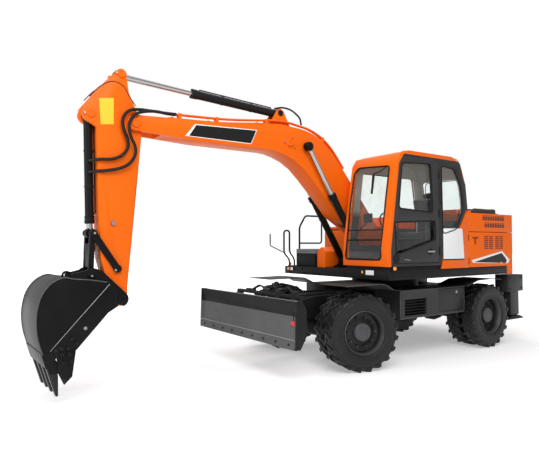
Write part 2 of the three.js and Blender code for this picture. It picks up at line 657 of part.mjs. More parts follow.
function cabShell() {
  const shell = cut(
    prism('y', cabProfile, cabRight, cabLeft),
    prism('y', cabInside, cabRight + cabWall, cabLeft - cabWall));
  const panelRecess = prism('y', [
    [-60, cabBottom - 20], [-170, 1650], [-585, 2045], [-722, hoodTop + 20], [cabRear - 20, hoodTop + 20],
    [cabRear - 20, cabBottom - 20],
  ], halfWidth - 30, halfWidth + 10);
  return cut(shell,
    prism('y', doorOpening, cabLeft - cabWall - 20, cabLeft + 10),
    prism('y', quarterWindow, cabLeft - cabWall - 20, cabLeft + 10, 70),
    prism('y', rightWindow, cabRight - 10, cabRight + cabWall + 20, 60),
    prism('x', rearWindow, cabRear - 10, cabRear + 140, 60),
    prism('x', windshieldOpening, 780, 1200, 50),
    panelRecess);
}

const inset = (points, by) => {
  const middle = points.reduce(([sx, sz], [x, z]) => [sx + x / points.length, sz + z / points.length],
    [0, 0]);
  return points.map(([x, z]) => {
    const away = Math.hypot(x - middle[0], z - middle[1]);
    return [x + ((middle[0] - x) * by) / away, z + ((middle[1] - z) * by) / away];
  });
};

function windshield() {
  const slope = [[1098, cabBottom + 5], [1098, 1649], [998, 2349], [898, 2925], [852, 2990]];
  const band = [...slope.map(([x, z]) => [x - 12, z]), ...slope.map(([x, z]) => [x - 12 - glassThick,
    z]).reverse()];
  return prism('y', band, cabRight + 1, cabLeft - 1)
    .intersect(prism('x', inset(windshieldOpening, 1.2), 700, 1300, 50));
}

function cabDoor() {
  const face = prism('y', doorOutline, cabLeft - 40, cabLeft);
  const upper = prism('y', [[868, 2240], [790, 2905], [150, 2945], [100, 2205]], cabLeft - 50,
    cabLeft + 10, 60);
  const lower = prism('y', [[930, 1570], [950, 2035], [60, 2080], [45, 1795]], cabLeft - 50, cabLeft + 10,
    40);
  return cut(face, upper, lower);
}

const doorGlass = () => prism('y', [
  [955, 1535], [975, 2040], [890, 2260], [815, 2935], [125, 2970], [20, 2080], [20, 1760],
], cabLeft - 40 - seat - glassThick, cabLeft - 40 - seat);

function seatBody() {
  return prism('y', [
    [110, 1780], [150, 1840], [130, 1905], [-280, 1890], [-420, 2560], [-500, 2550], [-400, 1780],
  ], 540, 1010, 30);
}

function console_() {
  const base = block(-380, 60, 600, 950, cabBottom + cabWall + seat, 1780 - seat);
  const arms = [[400, 520], [1030, 1140]].map(([y0, y1]) => block(-360, 160, y0, y1, 1600, 1980));
  const tie = block(-330, 20, 400, 1140, 1600, 1700);
  const column = prism('y', [
    [560, cabBottom + cabWall + seat], [700, cabBottom + cabWall + seat], [600, 2020], [540, 2020],
  ], 735, 805);
  const floorPlate = block(-300, 690, 650, 900, cabBottom + cabWall + seat, cabBottom + cabWall + 22);
  return join(base, ...arms, tie, column, floorPlate);
}

// ---------------------------------------------------------------- right side of the house
function tankRight() {
  return cut(
    prism('y', [
      [150, deckTop + seat], [150, 1960], [60, 2050], [-785, 2050], [-785, deckTop + seat],
    ], -halfWidth, -420, 20),
    block(-775, 130, -halfWidth + 10, -430, deckTop - 10, 2035));
}

const batteryBox = () => cut(
  block(560, 950, -1080, -560, deckTop + seat, 1640),
  block(570, 940, -1070, -570, deckTop - 10, 1630));

function footCover() {
  const coverInner = -boomRamY - coverGap;
  const dome = (grow) => prism('x', [
    [-530 + grow, deckTop + seat - (grow ? 20 : 0)], [-530 + grow, 1600 - grow], [-420, 1680 - grow],
    [coverInner - grow, 1600 - grow], [coverInner - grow, deckTop + seat - (grow ? 20 : 0)],
  ], 620 + grow, 920 - grow, 20);
  return cut(dome(0), dome(8));
}

function handrails() {
  const y = -1180;
  const deck = deckTop + seat;
  const foot = block(330, 1050, y - 15, y + 15, deck, deck + 12);
  const rail = tube(16, [[840, y, deck + 5], [840, y, 1980], [660, y, 2225], [-600, y, 2225],
    [-600, y, 2050 + seat]]);
  const drop = tube(14, [[330, y, 2225], [330, y, 1740], [840, y, 1740]]);
  const loop = tube(15, [[930, y, deck + 5], [930, y, 1470], [1040, y, 1600], [1040, y, 1960],
    [1130, y, 1960],
    [1130, y, 1640], [1010, y, 1480], [1010, y, deck + 5]]);
  return join(foot, rail, drop, loop);
}

// ---------------------------------------------------------------- boom, arm and bucket
const arc = (x, z, radius, from, to, steps) => Array.from({ length: steps + 1 }, (_, i) => {
  const angle = ((from + ((to - from) * i) / steps) * Math.PI) / 180;
  return [x + radius * Math.cos(angle), z + radius * Math.sin(angle)];
});
const smooth = (points, steps) => new THREE.SplineCurve(points.map(([x, z]) => new THREE.Vector2(x, z)))
  .getPoints(steps).map((p) => [p.x, p.y]);

function boom() {
  const top = smooth([[860, 2782], [1031, 2976], [1210, 3160], [1401, 3314], [1610, 3405], [1830, 3445],
    [2197, 3467]], 14);
  const bottom = smooth([[2500, 3072], [2197, 3050], [1831, 2902], [1444, 2553], [1242, 2347],
    [1077, 2166]], 12);
  const outer = [
    ...arc(boomFoot[0], boomFoot[1], 95, 300, 143, 6), ...top, [3030, 3368], [4231, 3288],
    ...arc(boomTip[0], boomTip[1], 100, 80, -110, 7), [3477, 3062], ...bottom,
  ];
  const inner = [
    [330, 2060], ...top.map(([x, z]) => [x + 8, z - 20]), [3030, 3348], [3880, 3285], [3880, 3090],
    [3477, 3080], ...bottom.map(([x, z]) => [x - 12, z + 16]), [420, 1830],
  ];
  const fork = block(3990, 4500, -armHalfWidth - 12, armHalfWidth + 12, 2900, 3500);
  const ramLug = prism('y', [
    [armRamBase[0] - 190, 3440], [armRamBase[0] + 230, 3400], [armRamBase[0] + 60, armRamBase[1] + 30],
    [armRamBase[0], armRamBase[1] + 70], [armRamBase[0] - 60, armRamBase[1] + 30],
  ], armRamLugY, armRamLugY + 24);
  const access = block(600, 850, -60, 60, 1700, 2100);
  const tipBoss = rod('y', 88, armHalfWidth + pinGap, armHalfWidth + 20, boomTip[0], boomTip[1], 16);
  return join(
    cut(prism('y', outer, -boomHalfWidth, boomHalfWidth), fork, access,
      prism('y', inner, -boomHalfWidth + boomPlate, boomHalfWidth - boomPlate)),
    bothSides(ramLug), bothSides(tipBoss));
}

function arm() {
  const outer = [
    ...arc(armRamPin[0], armRamPin[1], 62, 200, 20, 6), [4740, 3560], [4925, 3305],
    ...arc(bucketRamPin[0], bucketRamPin[1], 92, 30, -60, 4), [4770, 3090], [4756, 2637], [4704, 1560],
    [4640, 1330], ...arc(bucketPin[0], bucketPin[1], 82, 20, -180, 7), [4388, 1216], [4300, 2400],
    [4240, 3020],
    [4238, 3200], [4327, 3388], [4400, 3553],
  ];
  const inner = [
    [4470, 3600], [4690, 3500], [4770, 3330], [4745, 3110], [4736, 2637], [4684, 1570], [4620, 1320],
    [4440, 1230], [4318, 2400], [4260, 3020], [4258, 3196], [4345, 3380], [4420, 3545],
  ];
  const ramSlot = block(4300, 4700, -armRodSlot, armRodSlot, 3625, 3900);
  const barrelSlot = block(4762, 5000, -bucketRamSlot, bucketRamSlot, 3000, 3345);
  const rockerBore = rod('y', pinBore, -200, 200, rockerPin[0], rockerPin[1]);
  const pinTube = cut(rod('y', 50, -armHalfWidth + 4, armHalfWidth - 4, rockerPin[0], rockerPin[1]),
    rockerBore);
  const access = block(4200, 4330, -40, 40, 2500, 2700);
  return join(
    cut(prism('y', outer, -armHalfWidth, armHalfWidth), ramSlot, barrelSlot, rockerBore, access,
      prism('y', inner, -armHalfWidth + armPlate, armHalfWidth - armPlate)),
    pinTube);
}

function rocker() {
  const plate = linkBar(rockerPin, linkTopPin, 38, armHalfWidth + pinGap, armHalfWidth + 26);
  const pin = rod('y', 30, -armHalfWidth - 10, armHalfWidth + 10, rockerPin[0], rockerPin[1]);
  return join(bothSides(plate), pin);
}

function bucketLink() {
  const cheek = linkBar(linkBottomPin, linkTopPin, 30, linkCheekY, armHalfWidth);
  const web = block(linkBottomPin[0] - 34, linkBottomPin[0] + 20, -linkCheekY - 5, linkCheekY + 5,
    linkBottomPin[1] + 90, linkTopPin[1] - 120);
  return join(bothSides(cheek), web);
}

function bucket() {
  const back = smooth([[4900, 1330], [5060, 1345], [5170, 1366], [5270, 1325], [5350, 1245], [5405, 1130],
    [5430, 980],
    [5428, 860], [5408, 727], [5363, 567]], 16);
  const shellOuter = [[4674, 1297], ...back];
  const shellInner = shellOuter.map(([x, z], i) => {
    const before = shellOuter[Math.max(i - 1, 0)];
    const after = shellOuter[Math.min(i + 1, shellOuter.length - 1)];
    const length = Math.hypot(after[0] - before[0], after[1] - before[1]);
    return [x + ((after[1] - before[1]) / length) * bucketPlate,
      z - ((after[0] - before[0]) / length) * bucketPlate];
  });
  const shell = prism('y', [...shellOuter, ...shellInner.reverse()], -bucketHalfWidth, bucketHalfWidth);
  const side = prism('y', [
    [4586, 1030], [4620, 1180], ...shellOuter, [5235, 590], [5027, 594], [4700, 960],
  ], bucketHalfWidth - bucketPlate, bucketHalfWidth);
  const lip = prism('y', [[5380, 590], [5330, 430], [5296, 430], [5210, 560], [5240, 600]],
    -bucketHalfWidth, bucketHalfWidth);
  const tooth = prism('y', [[5350, 520], [5290, 330], [5222, 125], [5200, 130], [5205, 340], [5250, 520]],
    -38, 38);
  const teeth = [-340, -113, 113, 340].map((y) => tooth.translate([0, y, 0]));
  const cutter = prism('y', [[5235, 600], [5205, 360], [5150, 243], [5071, 320], [5037, 600]],
    bucketHalfWidth - 24, bucketHalfWidth + 12);
  const ear = prism('y', [
    ...arc(bucketPin[0], bucketPin[1], 88, 250, 130, 5), [4700, 1420],
    ...arc(linkBottomPin[0], linkBottomPin[1], 84, 110,
      40, 3), [5040, 1385], [5020, 1340], [4690, 1290], [4640, 1205], [4560, 1040],
  ], armHalfWidth + pinGap, armHalfWidth + 38);
  return join(shell, bothSides(side), lip, ...teeth, bothSides(cutter), bothSides(ear));
}

// ---------------------------------------------------------------- assembly
piece('chassis_frame', chassisFrame(), darkGrey);
piece('front_axle', axle(halfWheelbase, true), darkGrey);
piece('rear_axle', axle(-halfWheelbase, false), darkGrey);
piece('side_box_left', sideBox(), darkGrey);
piece('side_box_right', mirrored(sideBox()), darkGrey);
piece('side_box_door', boxDoor(), darkGrey);
piece('outrigger_beam', outriggerBeam(), darkGrey);
piece('outrigger_leg_left', outriggerLeg(), darkGrey);
piece('outrigger_leg_right', mirrored(outriggerLeg()), darkGrey);

for (const side of ['left', 'right']) {
  const sign = side === 'left' ? 1 : -1;
  const handed = (shape) => (side === 'left' ? shape : mirrored(shape));
  const steering = new THREE.Group();
  const offset = new THREE.Group();
  steering.position.set(halfWheelbase, sign * kingpinY, 0);
  steering.rotation.z = (steerAtRest * Math.PI) / 180;
  offset.position.set(-halfWheelbase, -sign * kingpinY, 0);
  steering.add(offset);
  machine.add(steering);
  piece(`knuckle_${side}`, handed(knuckle()), darkGrey, offset);
  piece(`tyres_front_${side}`, handed(twinTyres(halfWheelbase)), tyreBlack, offset);
  piece(`rim_front_${side}`, handed(wheelRim(halfWheelbase)), rimGrey, offset);
  piece(`tyres_rear_${side}`, handed(twinTyres(-halfWheelbase)), tyreBlack);
  piece(`rim_rear_${side}`, handed(wheelRim(-halfWheelbase)), rimGrey);
  piece(`blade_cylinder_${side}`, handed(ramBarrel(bladeRamBase, bladeRamPin, bladeRamY, bladeRam)),
    darkGrey);
  piece(`blade_rod_${side}`, handed(ramRod(bladeRamBase, bladeRamPin, bladeRamY, bladeRam)), chrome);
  piece(`boom_cylinder_${side}`, handed(boomBarrel()), black);
  piece(`boom_rod_${side}`, handed(ramRod(boomRamBase, boomRamPin, boomRamY, boomRam)), chrome);
  piece(`engine_door_${side}`, handed(engineSideDoor()), orange);
}

function boomBarrel() {
  return cut(ramBarrel(boomRamBase, boomRamPin, boomRamY, boomRam),
    rod('y', pinBore, 0, 400, boomRamBase[0], boomRamBase[1]));
}

piece('blade_arms', bladeArms(), darkGrey);
piece('blade_links', bladeLinks(), darkGrey);
piece('blade', bladeBody(), bladeGrey);

piece('upper_frame', upperFrame(), darkGrey);
piece('counterweight', counterweight(), orange);
piece('engine_hood', engineHood(), orange);
piece('engine_housing', engineHousing(), orange);
piece('engine_block', block(-1900, -1300, -480, 480, deckTop + seat, 1900), darkGrey);
piece('cab_shell', cabShell(), orange);
piece('windshield', windshield(), glass);
piece('quarter_glass', prism('y', inset(quarterWindow, 1.2), cabLeft - 26, cabLeft - 20, 70), glass);
piece('right_glass', prism('y', inset(rightWindow, 1.2), cabRight + 20, cabRight + 26, 60), glass);
piece('rear_glass', prism('x', inset(rearWindow, 1.2), cabRear + 18, cabRear + 24, 60), glass);
piece('cab_door', cabDoor(), darkGrey);
piece('door_glass', doorGlass(), glass);
piece('seat', seatBody(), fabric);
piece('console', console_(), fabric);
piece('tank_right', tankRight(), orange);
piece('battery_box', batteryBox(), darkGrey);
piece('foot_cover', footCover(), orange);
piece('handrails', handrails(), darkGrey);

piece('boom', boom(), orange);
piece('arm_cylinder', ramBarrel(armRamBase, armRamPin, 0, armRam), darkGrey);
piece('arm_rod', ramRod(armRamBase, armRamPin, 0, armRam), chrome);
piece('arm', arm(), orange);
piece('bucket_cylinder', ramBarrel(bucketRamPin, linkTopPin, 0, bucketRam), darkGrey);
piece('bucket_rod', ramRod(bucketRamPin, linkTopPin, 0, bucketRam), chrome);
piece('rocker', rocker(), darkGrey);
piece('bucket_link', bucketLink(), darkGrey);
piece('bucket', bucket(), black);

// the reference point is on the ground, in the middle of the machine's length
const extent = new THREE.Box3().setFromObject(machine);
machine.position.x = -(extent.min.x + extent.max.x) / 2;
machine.updateMatrixWorld(true);

export default machine;
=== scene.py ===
import math
import bpy
from mathutils import Matrix, Vector


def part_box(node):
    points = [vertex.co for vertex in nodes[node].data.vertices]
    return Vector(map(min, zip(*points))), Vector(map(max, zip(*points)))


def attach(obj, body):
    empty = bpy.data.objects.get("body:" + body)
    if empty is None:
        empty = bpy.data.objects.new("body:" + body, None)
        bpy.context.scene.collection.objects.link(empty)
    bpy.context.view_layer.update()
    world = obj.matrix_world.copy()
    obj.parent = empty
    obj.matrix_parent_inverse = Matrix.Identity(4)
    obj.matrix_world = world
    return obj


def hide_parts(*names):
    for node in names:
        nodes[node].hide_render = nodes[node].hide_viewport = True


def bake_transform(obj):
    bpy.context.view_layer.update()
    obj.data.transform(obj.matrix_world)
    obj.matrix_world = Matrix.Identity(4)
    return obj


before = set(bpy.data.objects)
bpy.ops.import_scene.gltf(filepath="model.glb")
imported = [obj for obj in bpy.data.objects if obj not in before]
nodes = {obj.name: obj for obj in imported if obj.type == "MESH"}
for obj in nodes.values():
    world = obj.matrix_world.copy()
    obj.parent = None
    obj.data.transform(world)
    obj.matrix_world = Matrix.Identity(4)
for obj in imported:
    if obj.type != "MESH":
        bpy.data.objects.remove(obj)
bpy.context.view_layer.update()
sides = (("Left", 1), ("Right", -1))  # each side's name, and its sign across the machine

# places below are metres forward of the middle of the wheelbase, left of centre and above ground
wheels = {"base": 1.4, "radius": 0.525, "kingpin": 0.76, "steer": -16.7, "track": 1.247, "width": 0.262,
          "gap": 0.034}
rimLow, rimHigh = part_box("rim_rear_left")
midX = (rimLow.x + rimHigh.x) / 2 + wheels["base"]


def at(x, y, z):
    return Vector((x + midX, y, z))


def pick(*objs):
    if bpy.context.mode != "OBJECT":
        bpy.ops.object.mode_set(mode="OBJECT")
    bpy.ops.object.select_all(action="DESELECT")
    for o in objs:
        o.select_set(True)
    bpy.context.view_layer.objects.active = objs[0]


def newest(text):
    o = bpy.context.object
    o.name = text
    o.data.name = text
    return o


def settle(o, smooth=35):
    pick(o)
    bpy.ops.object.transform_apply(location=True, rotation=True, scale=True)
    bpy.ops.object.shade_smooth_by_angle(angle=math.radians(smooth))
    return o


def editAll(o):
    # edit mode with the whole mesh picked
    pick(o)
    bpy.ops.object.mode_set(mode="EDIT")
    bpy.ops.mesh.select_all(action="SELECT")


def leaveEdit():
    bpy.ops.object.mode_set(mode="OBJECT")


def faceOut(o, weld=0.00005):
    editAll(o)
    bpy.ops.mesh.remove_doubles(threshold=weld)
    bpy.ops.mesh.normals_make_consistent(inside=False)
    leaveEdit()
    return o


def sinkFaces(o, test, border, move):
    # the faces that pass the test are inset, then moved
    pick(o)
    bpy.ops.object.mode_set(mode="EDIT")
    bpy.ops.mesh.select_mode(type="FACE")
    bpy.ops.mesh.select_all(action="DESELECT")
    leaveEdit()
    for face in o.data.polygons:
        face.select = bool(test(face))
    bpy.ops.object.mode_set(mode="EDIT")
    bpy.ops.mesh.inset(thickness=border)
    bpy.ops.transform.translate(value=move)
    leaveEdit()
    return o


def useModifier(o, kind, **settings):
    pick(o)
    m = o.modifiers.new(kind.title(), kind)
    for key, value in settings.items():
        setattr(m, key, value)
    bpy.ops.object.modifier_apply(modifier=m.name)
    return o


def roundEdges(o, width, segments=2, angle=32):
    return useModifier(o, "BEVEL", width=width, segments=segments, limit_method="ANGLE",
                       angle_limit=math.radians(angle))


def gather(text, parts):
    pick(*parts)
    if len(parts) > 1:
        bpy.ops.object.join()
    return newest(text)


def copyOf(source, text, move=None):
    copy = bpy.data.objects.new(text, source.data.copy())
    bpy.context.collection.objects.link(copy)
    copy.data.name = text
    if move:
        copy.data.transform(move)
    return copy


def acrossScale(side):
    return Matrix.Scale(side, 4, Vector((0, 1, 0)))


def mirrorAcross(source, text):
    twin = copyOf(source, text, acrossScale(-1))
    editAll(twin)
    bpy.ops.mesh.flip_normals()
    leaveEdit()
    return twin


def finish(o, body, paintName, replaced=()):
    o.data.materials.clear()
    o.data.materials.append(paints[paintName])
    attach(o, body)
    if replaced:
        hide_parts(*replaced)
    return o


camera = {"place": (6.5734, 6.305, 1.7223), "turn": 0.6455, "pitch": 0.0409, "lens": 34.94,
          "shift": (-0.0444, -0.0198)}


def buildCamera(spec):
    bpy.ops.object.camera_add(location=at(*spec["place"]))
    eye = newest("frontLeftCamera")
    look = Vector((-math.sin(spec["turn"]) * math.cos(spec["pitch"]), -math.cos(spec["turn"]) * math.cos(spec["pitch"]),
                   math.sin(spec["pitch"])))
    eye.rotation_euler = look.to_track_quat("-Z", "Y").to_euler()
    eye.data.sensor_width = 36
    eye.data.lens = spec["lens"]
    eye.data.shift_x, eye.data.shift_y = spec["shift"]
    eye.data.clip_end = 200
    bpy.context.scene.camera = eye


buildCamera(camera)


class Graph:
    # a shorthand for wiring nodes in a material or a group
    def __init__(self, tree):
        self.tree = tree
        self.count = 0

    def add(self, kind, **settings):
        node = self.tree.nodes.new(kind)
        node.location = (180 * (self.count % 8), -220 * (self.count // 8))
        self.count += 1
        for key, value in settings.items():
            setattr(node, key, value)
        return node

    def wire(self, value, socket):
        if isinstance(value, bpy.types.NodeSocket):
            self.tree.links.new(value, socket)
        elif value is not None:
            socket.default_value = value

    def math(self, operation, a, b=None, clamp=False):
        node = self.add("ShaderNodeMath", operation=operation, use_clamp=clamp)
        self.wire(a, node.inputs[0])
        self.wire(b, node.inputs[1])
        return node.outputs[0]

    def times(self, a, b, clamp=False):
        return self.math("MULTIPLY", a, b, clamp)

    def plus(self, a, b, clamp=False):
        return self.math("ADD", a, b, clamp)

    def minus(self, a, b):
        return self.math("SUBTRACT", a, b)

    def mix(self, factor, a, b):
        node = self.add("ShaderNodeMix", data_type="RGBA")
        self.wire(factor, node.inputs[0])
        self.wire(a, node.inputs[6])
        self.wire(b, node.inputs[7])
        return node.outputs[2]

    def mixValue(self, factor, a, b):
        node = self.add("ShaderNodeMix", data_type="FLOAT")
        self.wire(factor, node.inputs[0])
        self.wire(a, node.inputs[2])
        self.wire(b, node.inputs[3])
        return node.outputs[0]

    def ramp(self, value, low, high, outLow=0.0, outHigh=1.0):
        node = self.add("ShaderNodeMapRange", clamp=True)
        for socket, v in zip(node.inputs, (value, low, high, outLow, outHigh)):
            self.wire(v, socket)
        return node.outputs[0]

    def noise(self, vector, scale, detail=4.0, roughness=0.5):
        node = self.add("ShaderNodeTexNoise")
        self.wire(vector, node.inputs["Vector"])
        self.wire(scale, node.inputs["Scale"])
        node.inputs["Detail"].default_value = detail
        node.inputs["Roughness"].default_value = roughness
        return node.outputs["Fac"]


def buildStage():
    floor = {"size": 160, "color": (0.86, 0.86, 0.86, 1), "lift": 0.34, "near": 5.0, "far": 12.0}
    bpy.ops.mesh.primitive_plane_add(size=floor["size"], location=(0, 0, -0.002))
    ground = newest("studioFloor")
    settle(ground)
    paint = bpy.data.materials.new("studioFloorPaint")
    paint.use_nodes = True
    paint.node_tree.nodes.clear()
    g = Graph(paint.node_tree)
    diffuse = g.add("ShaderNodeBsdfDiffuse")
    diffuse.inputs["Color"].default_value = floor["color"]
    rays = g.add("ShaderNodeLightPath")
    glow = g.add("ShaderNodeEmission")
    seen = g.math("MAXIMUM", rays.outputs["Is Camera Ray"],
                  g.math("MAXIMUM", rays.outputs["Is Glossy Ray"], rays.outputs["Is Transmission Ray"]))
    away = g.add("ShaderNodeVectorMath", operation="LENGTH")  # the far floor is as white as the backdrop
    g.wire(g.add("ShaderNodeTexCoord").outputs["Object"], away.inputs[0])
    lift = g.ramp(away.outputs["Value"], floor["near"], floor["far"], floor["lift"], 1.0)
    g.wire(g.times(seen, lift), glow.inputs["Strength"])
    both = g.add("ShaderNodeAddShader")
    g.wire(diffuse.outputs[0], both.inputs[0])
    g.wire(glow.outputs[0], both.inputs[1])
    g.wire(both.outputs[0], g.add("ShaderNodeOutputMaterial").inputs["Surface"])
    ground.data.materials.append(paint)

    world = bpy.data.worlds.new("softStudio")
    bpy.context.scene.world = world
    world.use_nodes = True
    world.node_tree.nodes.clear()
    g = Graph(world.node_tree)
    rays = g.add("ShaderNodeLightPath")
    seen = g.math("MAXIMUM", rays.outputs["Is Camera Ray"], rays.outputs["Is Transmission Ray"])
    sky = g.add("ShaderNodeBackground")
    sky.inputs["Color"].default_value = (1, 1, 1, 1)
    strength = g.mixValue(seen, g.mixValue(rays.outputs["Is Glossy Ray"], 0.5, 0.6), 1.0)
    g.wire(strength, sky.inputs["Strength"])
    g.wire(sky.outputs[0], g.add("ShaderNodeOutputWorld").inputs["Surface"])

    lamps = {
        "keyPanel": {"place": (5.5, 6.5, 7.5), "aim": (0.8, 0, 1.2), "size": 5.0, "power": 470},
        "frontPanel": {"place": (10.0, 1.0, 4.0), "aim": (1.5, 0, 1.2), "size": 4.0, "power": 190},
        "topPanel": {"place": (-1.0, -1.5, 8.5), "aim": (0, 0, 1.0), "size": 6.0, "power": 230},
    }
    for text, spec in lamps.items():
        bpy.ops.object.light_add(type="AREA", location=at(*spec["place"]))
        lamp = newest(text)
        lamp.rotation_euler = (at(*spec["aim"]) - at(*spec["place"])).to_track_quat("-Z", "Y").to_euler()
        lamp.data.size = spec["size"]
        lamp.data.energy = spec["power"]
    bpy.context.scene.view_settings.view_transform = "Standard"


buildStage()
print("stage: camera, floor and lamps")


def newGroup(text, inputs, outputs):
    tree = bpy.data.node_groups.new(text, "ShaderNodeTree")
    for label, kind, value in inputs:
        socket = tree.interface.new_socket(name=label, in_out="INPUT", socket_type=kind)
        if value is not None:
            socket.default_value = value
    for label, kind in outputs:
        tree.interface.new_socket(name=label, in_out="OUTPUT", socket_type=kind)
    g = Graph(tree)
    return tree, g, g.add("NodeGroupInput"), g.add("NodeGroupOutput")


def siteDustGroup():
    # dry dust that thins out with height, in soft patches
    tree, g, a, z = newGroup("siteDust", [("Low", "NodeSocketFloat", 0.2), ("High", "NodeSocketFloat", 1.6),
                             ("Amount", "NodeSocketFloat", 0.3)], [("Mask", "NodeSocketFloat")])
    place = g.add("ShaderNodeTexCoord").outputs["Object"]
    split = g.add("ShaderNodeSeparateXYZ")
    g.wire(place, split.inputs[0])
    height = g.ramp(split.outputs["Z"], a.outputs["Low"], a.outputs["High"], 1.0, 0.12)
    patch = g.ramp(g.noise(place, 3.1, 5.0, 0.6), 0.42, 0.72)
    speck = g.ramp(g.noise(place, 46.0, 3.0), 0.45, 0.7, 0.4, 1.0)
    mask = g.times(g.times(height, patch), g.times(speck, a.outputs["Amount"]), True)
    g.wire(mask, z.inputs["Mask"])
    return tree


def fineGrainGroup():
    # sprayed or cast surface: a slow tone change and a fine relief
    tree, g, a, z = newGroup("fineGrain", [("Scale", "NodeSocketFloat", 260.0), ("Tone", "NodeSocketFloat", 0.06)],
                             [("Tone", "NodeSocketFloat"), ("Relief", "NodeSocketFloat")])
    place = g.add("ShaderNodeTexCoord").outputs["Object"]
    slow = g.noise(place, 1.7, 3.0)
    fine = g.noise(place, a.outputs["Scale"], 2.0, 0.55)
    spread = g.times(g.minus(slow, 0.5), a.outputs["Tone"])
    g.wire(g.plus(g.times(spread, 2.0), 1.0), z.inputs["Tone"])
    g.wire(fine, z.inputs["Relief"])
    return tree


def edgeWearAndGlintGroup():
    # where a corner is rubbed, and on tyre lugs and rim flanges a painted highlight: the rounded normal leaves the flat
    # one
    tree, g, a, z = newGroup("edgeWearAndGlint", [("Radius", "NodeSocketFloat", 0.006), ("Amount", "NodeSocketFloat", 0.5)],
                             [("Mask", "NodeSocketFloat")])
    soft = g.add("ShaderNodeBevel", samples=4)
    g.wire(a.outputs["Radius"], soft.inputs["Radius"])
    dot = g.add("ShaderNodeVectorMath", operation="DOT_PRODUCT")
    g.wire(soft.outputs[0], dot.inputs[0])
    g.wire(g.add("ShaderNodeNewGeometry").outputs["Normal"], dot.inputs[1])
    corner = g.ramp(dot.outputs["Value"], 0.99, 0.86)
    place = g.add("ShaderNodeTexCoord").outputs["Object"]
    broken = g.ramp(g.noise(place, 23.0, 6.0, 0.7), 0.44, 0.6)
    g.wire(g.times(g.times(corner, broken), a.outputs["Amount"], True), z.inputs["Mask"])
    return tree


groups = {"dust": siteDustGroup(), "grain": fineGrainGroup(), "wearAndGlint": edgeWearAndGlintGroup()}


def placeGroup(g, key, **values):
    node = g.add("ShaderNodeGroup")
    node.node_tree = groups[key]
    for label, value in values.items():
        g.wire(value, node.inputs[label])
    return node


def newSurface(text):
    material = bpy.data.materials.new(text)
    material.use_nodes = True
    material.node_tree.nodes.clear()
    g = Graph(material.node_tree)
    shader = g.add("ShaderNodeBsdfPrincipled")
    g.wire(shader.outputs[0], g.add("ShaderNodeOutputMaterial").inputs["Surface"])
    return material, g, shader


def addRelief(g, shader, height, strength, distance):
    bump = g.add("ShaderNodeBump")
    bump.inputs["Strength"].default_value = strength
    bump.inputs["Distance"].default_value = distance
    g.wire(height, bump.inputs["Height"])
    g.wire(bump.outputs[0], shader.inputs["Normal"])


dustColor = (0.30, 0.27, 0.23, 1)


def coatedSurface(text, spec, colorOf=None):
    # paint or plastic: base colour with tone, worn corners (a painted highlight on tyre lugs and rim flanges) and dust,
    # fine relief
    material, g, shader = newSurface(text)
    grain = placeGroup(g, "grain", Scale=spec.get("scale", 260.0), Tone=spec.get("tone", 0.05))
    dust = placeGroup(g, "dust", Amount=spec.get("dust", 0.25))
    base = colorOf(g) if colorOf else spec["color"]
    toned = g.add("ShaderNodeHueSaturation")
    g.wire(grain.outputs["Tone"], toned.inputs["Value"])
    g.wire(base, toned.inputs["Color"])
    color = toned.outputs[0]
    rough = spec["rough"]
    if spec.get("wearAndGlint"):
        wearAndGlint = placeGroup(g, "wearAndGlint", Radius=spec.get("wearAndGlintRadius", 0.005), Amount=spec["wearAndGlint"])
        color = g.mix(wearAndGlint.outputs[0], color, spec.get("wearAndGlintColor", (0.2, 0.19, 0.18, 1)))
        rough = g.mixValue(wearAndGlint.outputs[0], rough, 0.5)
    color = g.mix(dust.outputs[0], color, dustColor)
    rough = g.mixValue(dust.outputs[0], rough, 0.85)
    g.wire(color, shader.inputs["Base Color"])
    g.wire(g.plus(rough, g.times(g.minus(grain.outputs["Relief"], 0.5), 0.12), True),
           shader.inputs["Roughness"])
    addRelief(g, shader, grain.outputs["Relief"], spec.get("bump", 0.12), spec.get("depth", 0.0006))
    shader.inputs["Metallic"].default_value = spec.get("metal", 0.0)
    shader.inputs["Specular IOR Level"].default_value = spec.get("specular", 0.5)
    shader.inputs["Coat Weight"].default_value = spec.get("coat", 0.0)
    shader.inputs["Coat Roughness"].default_value = spec.get("coatRough", 0.08)
    return material


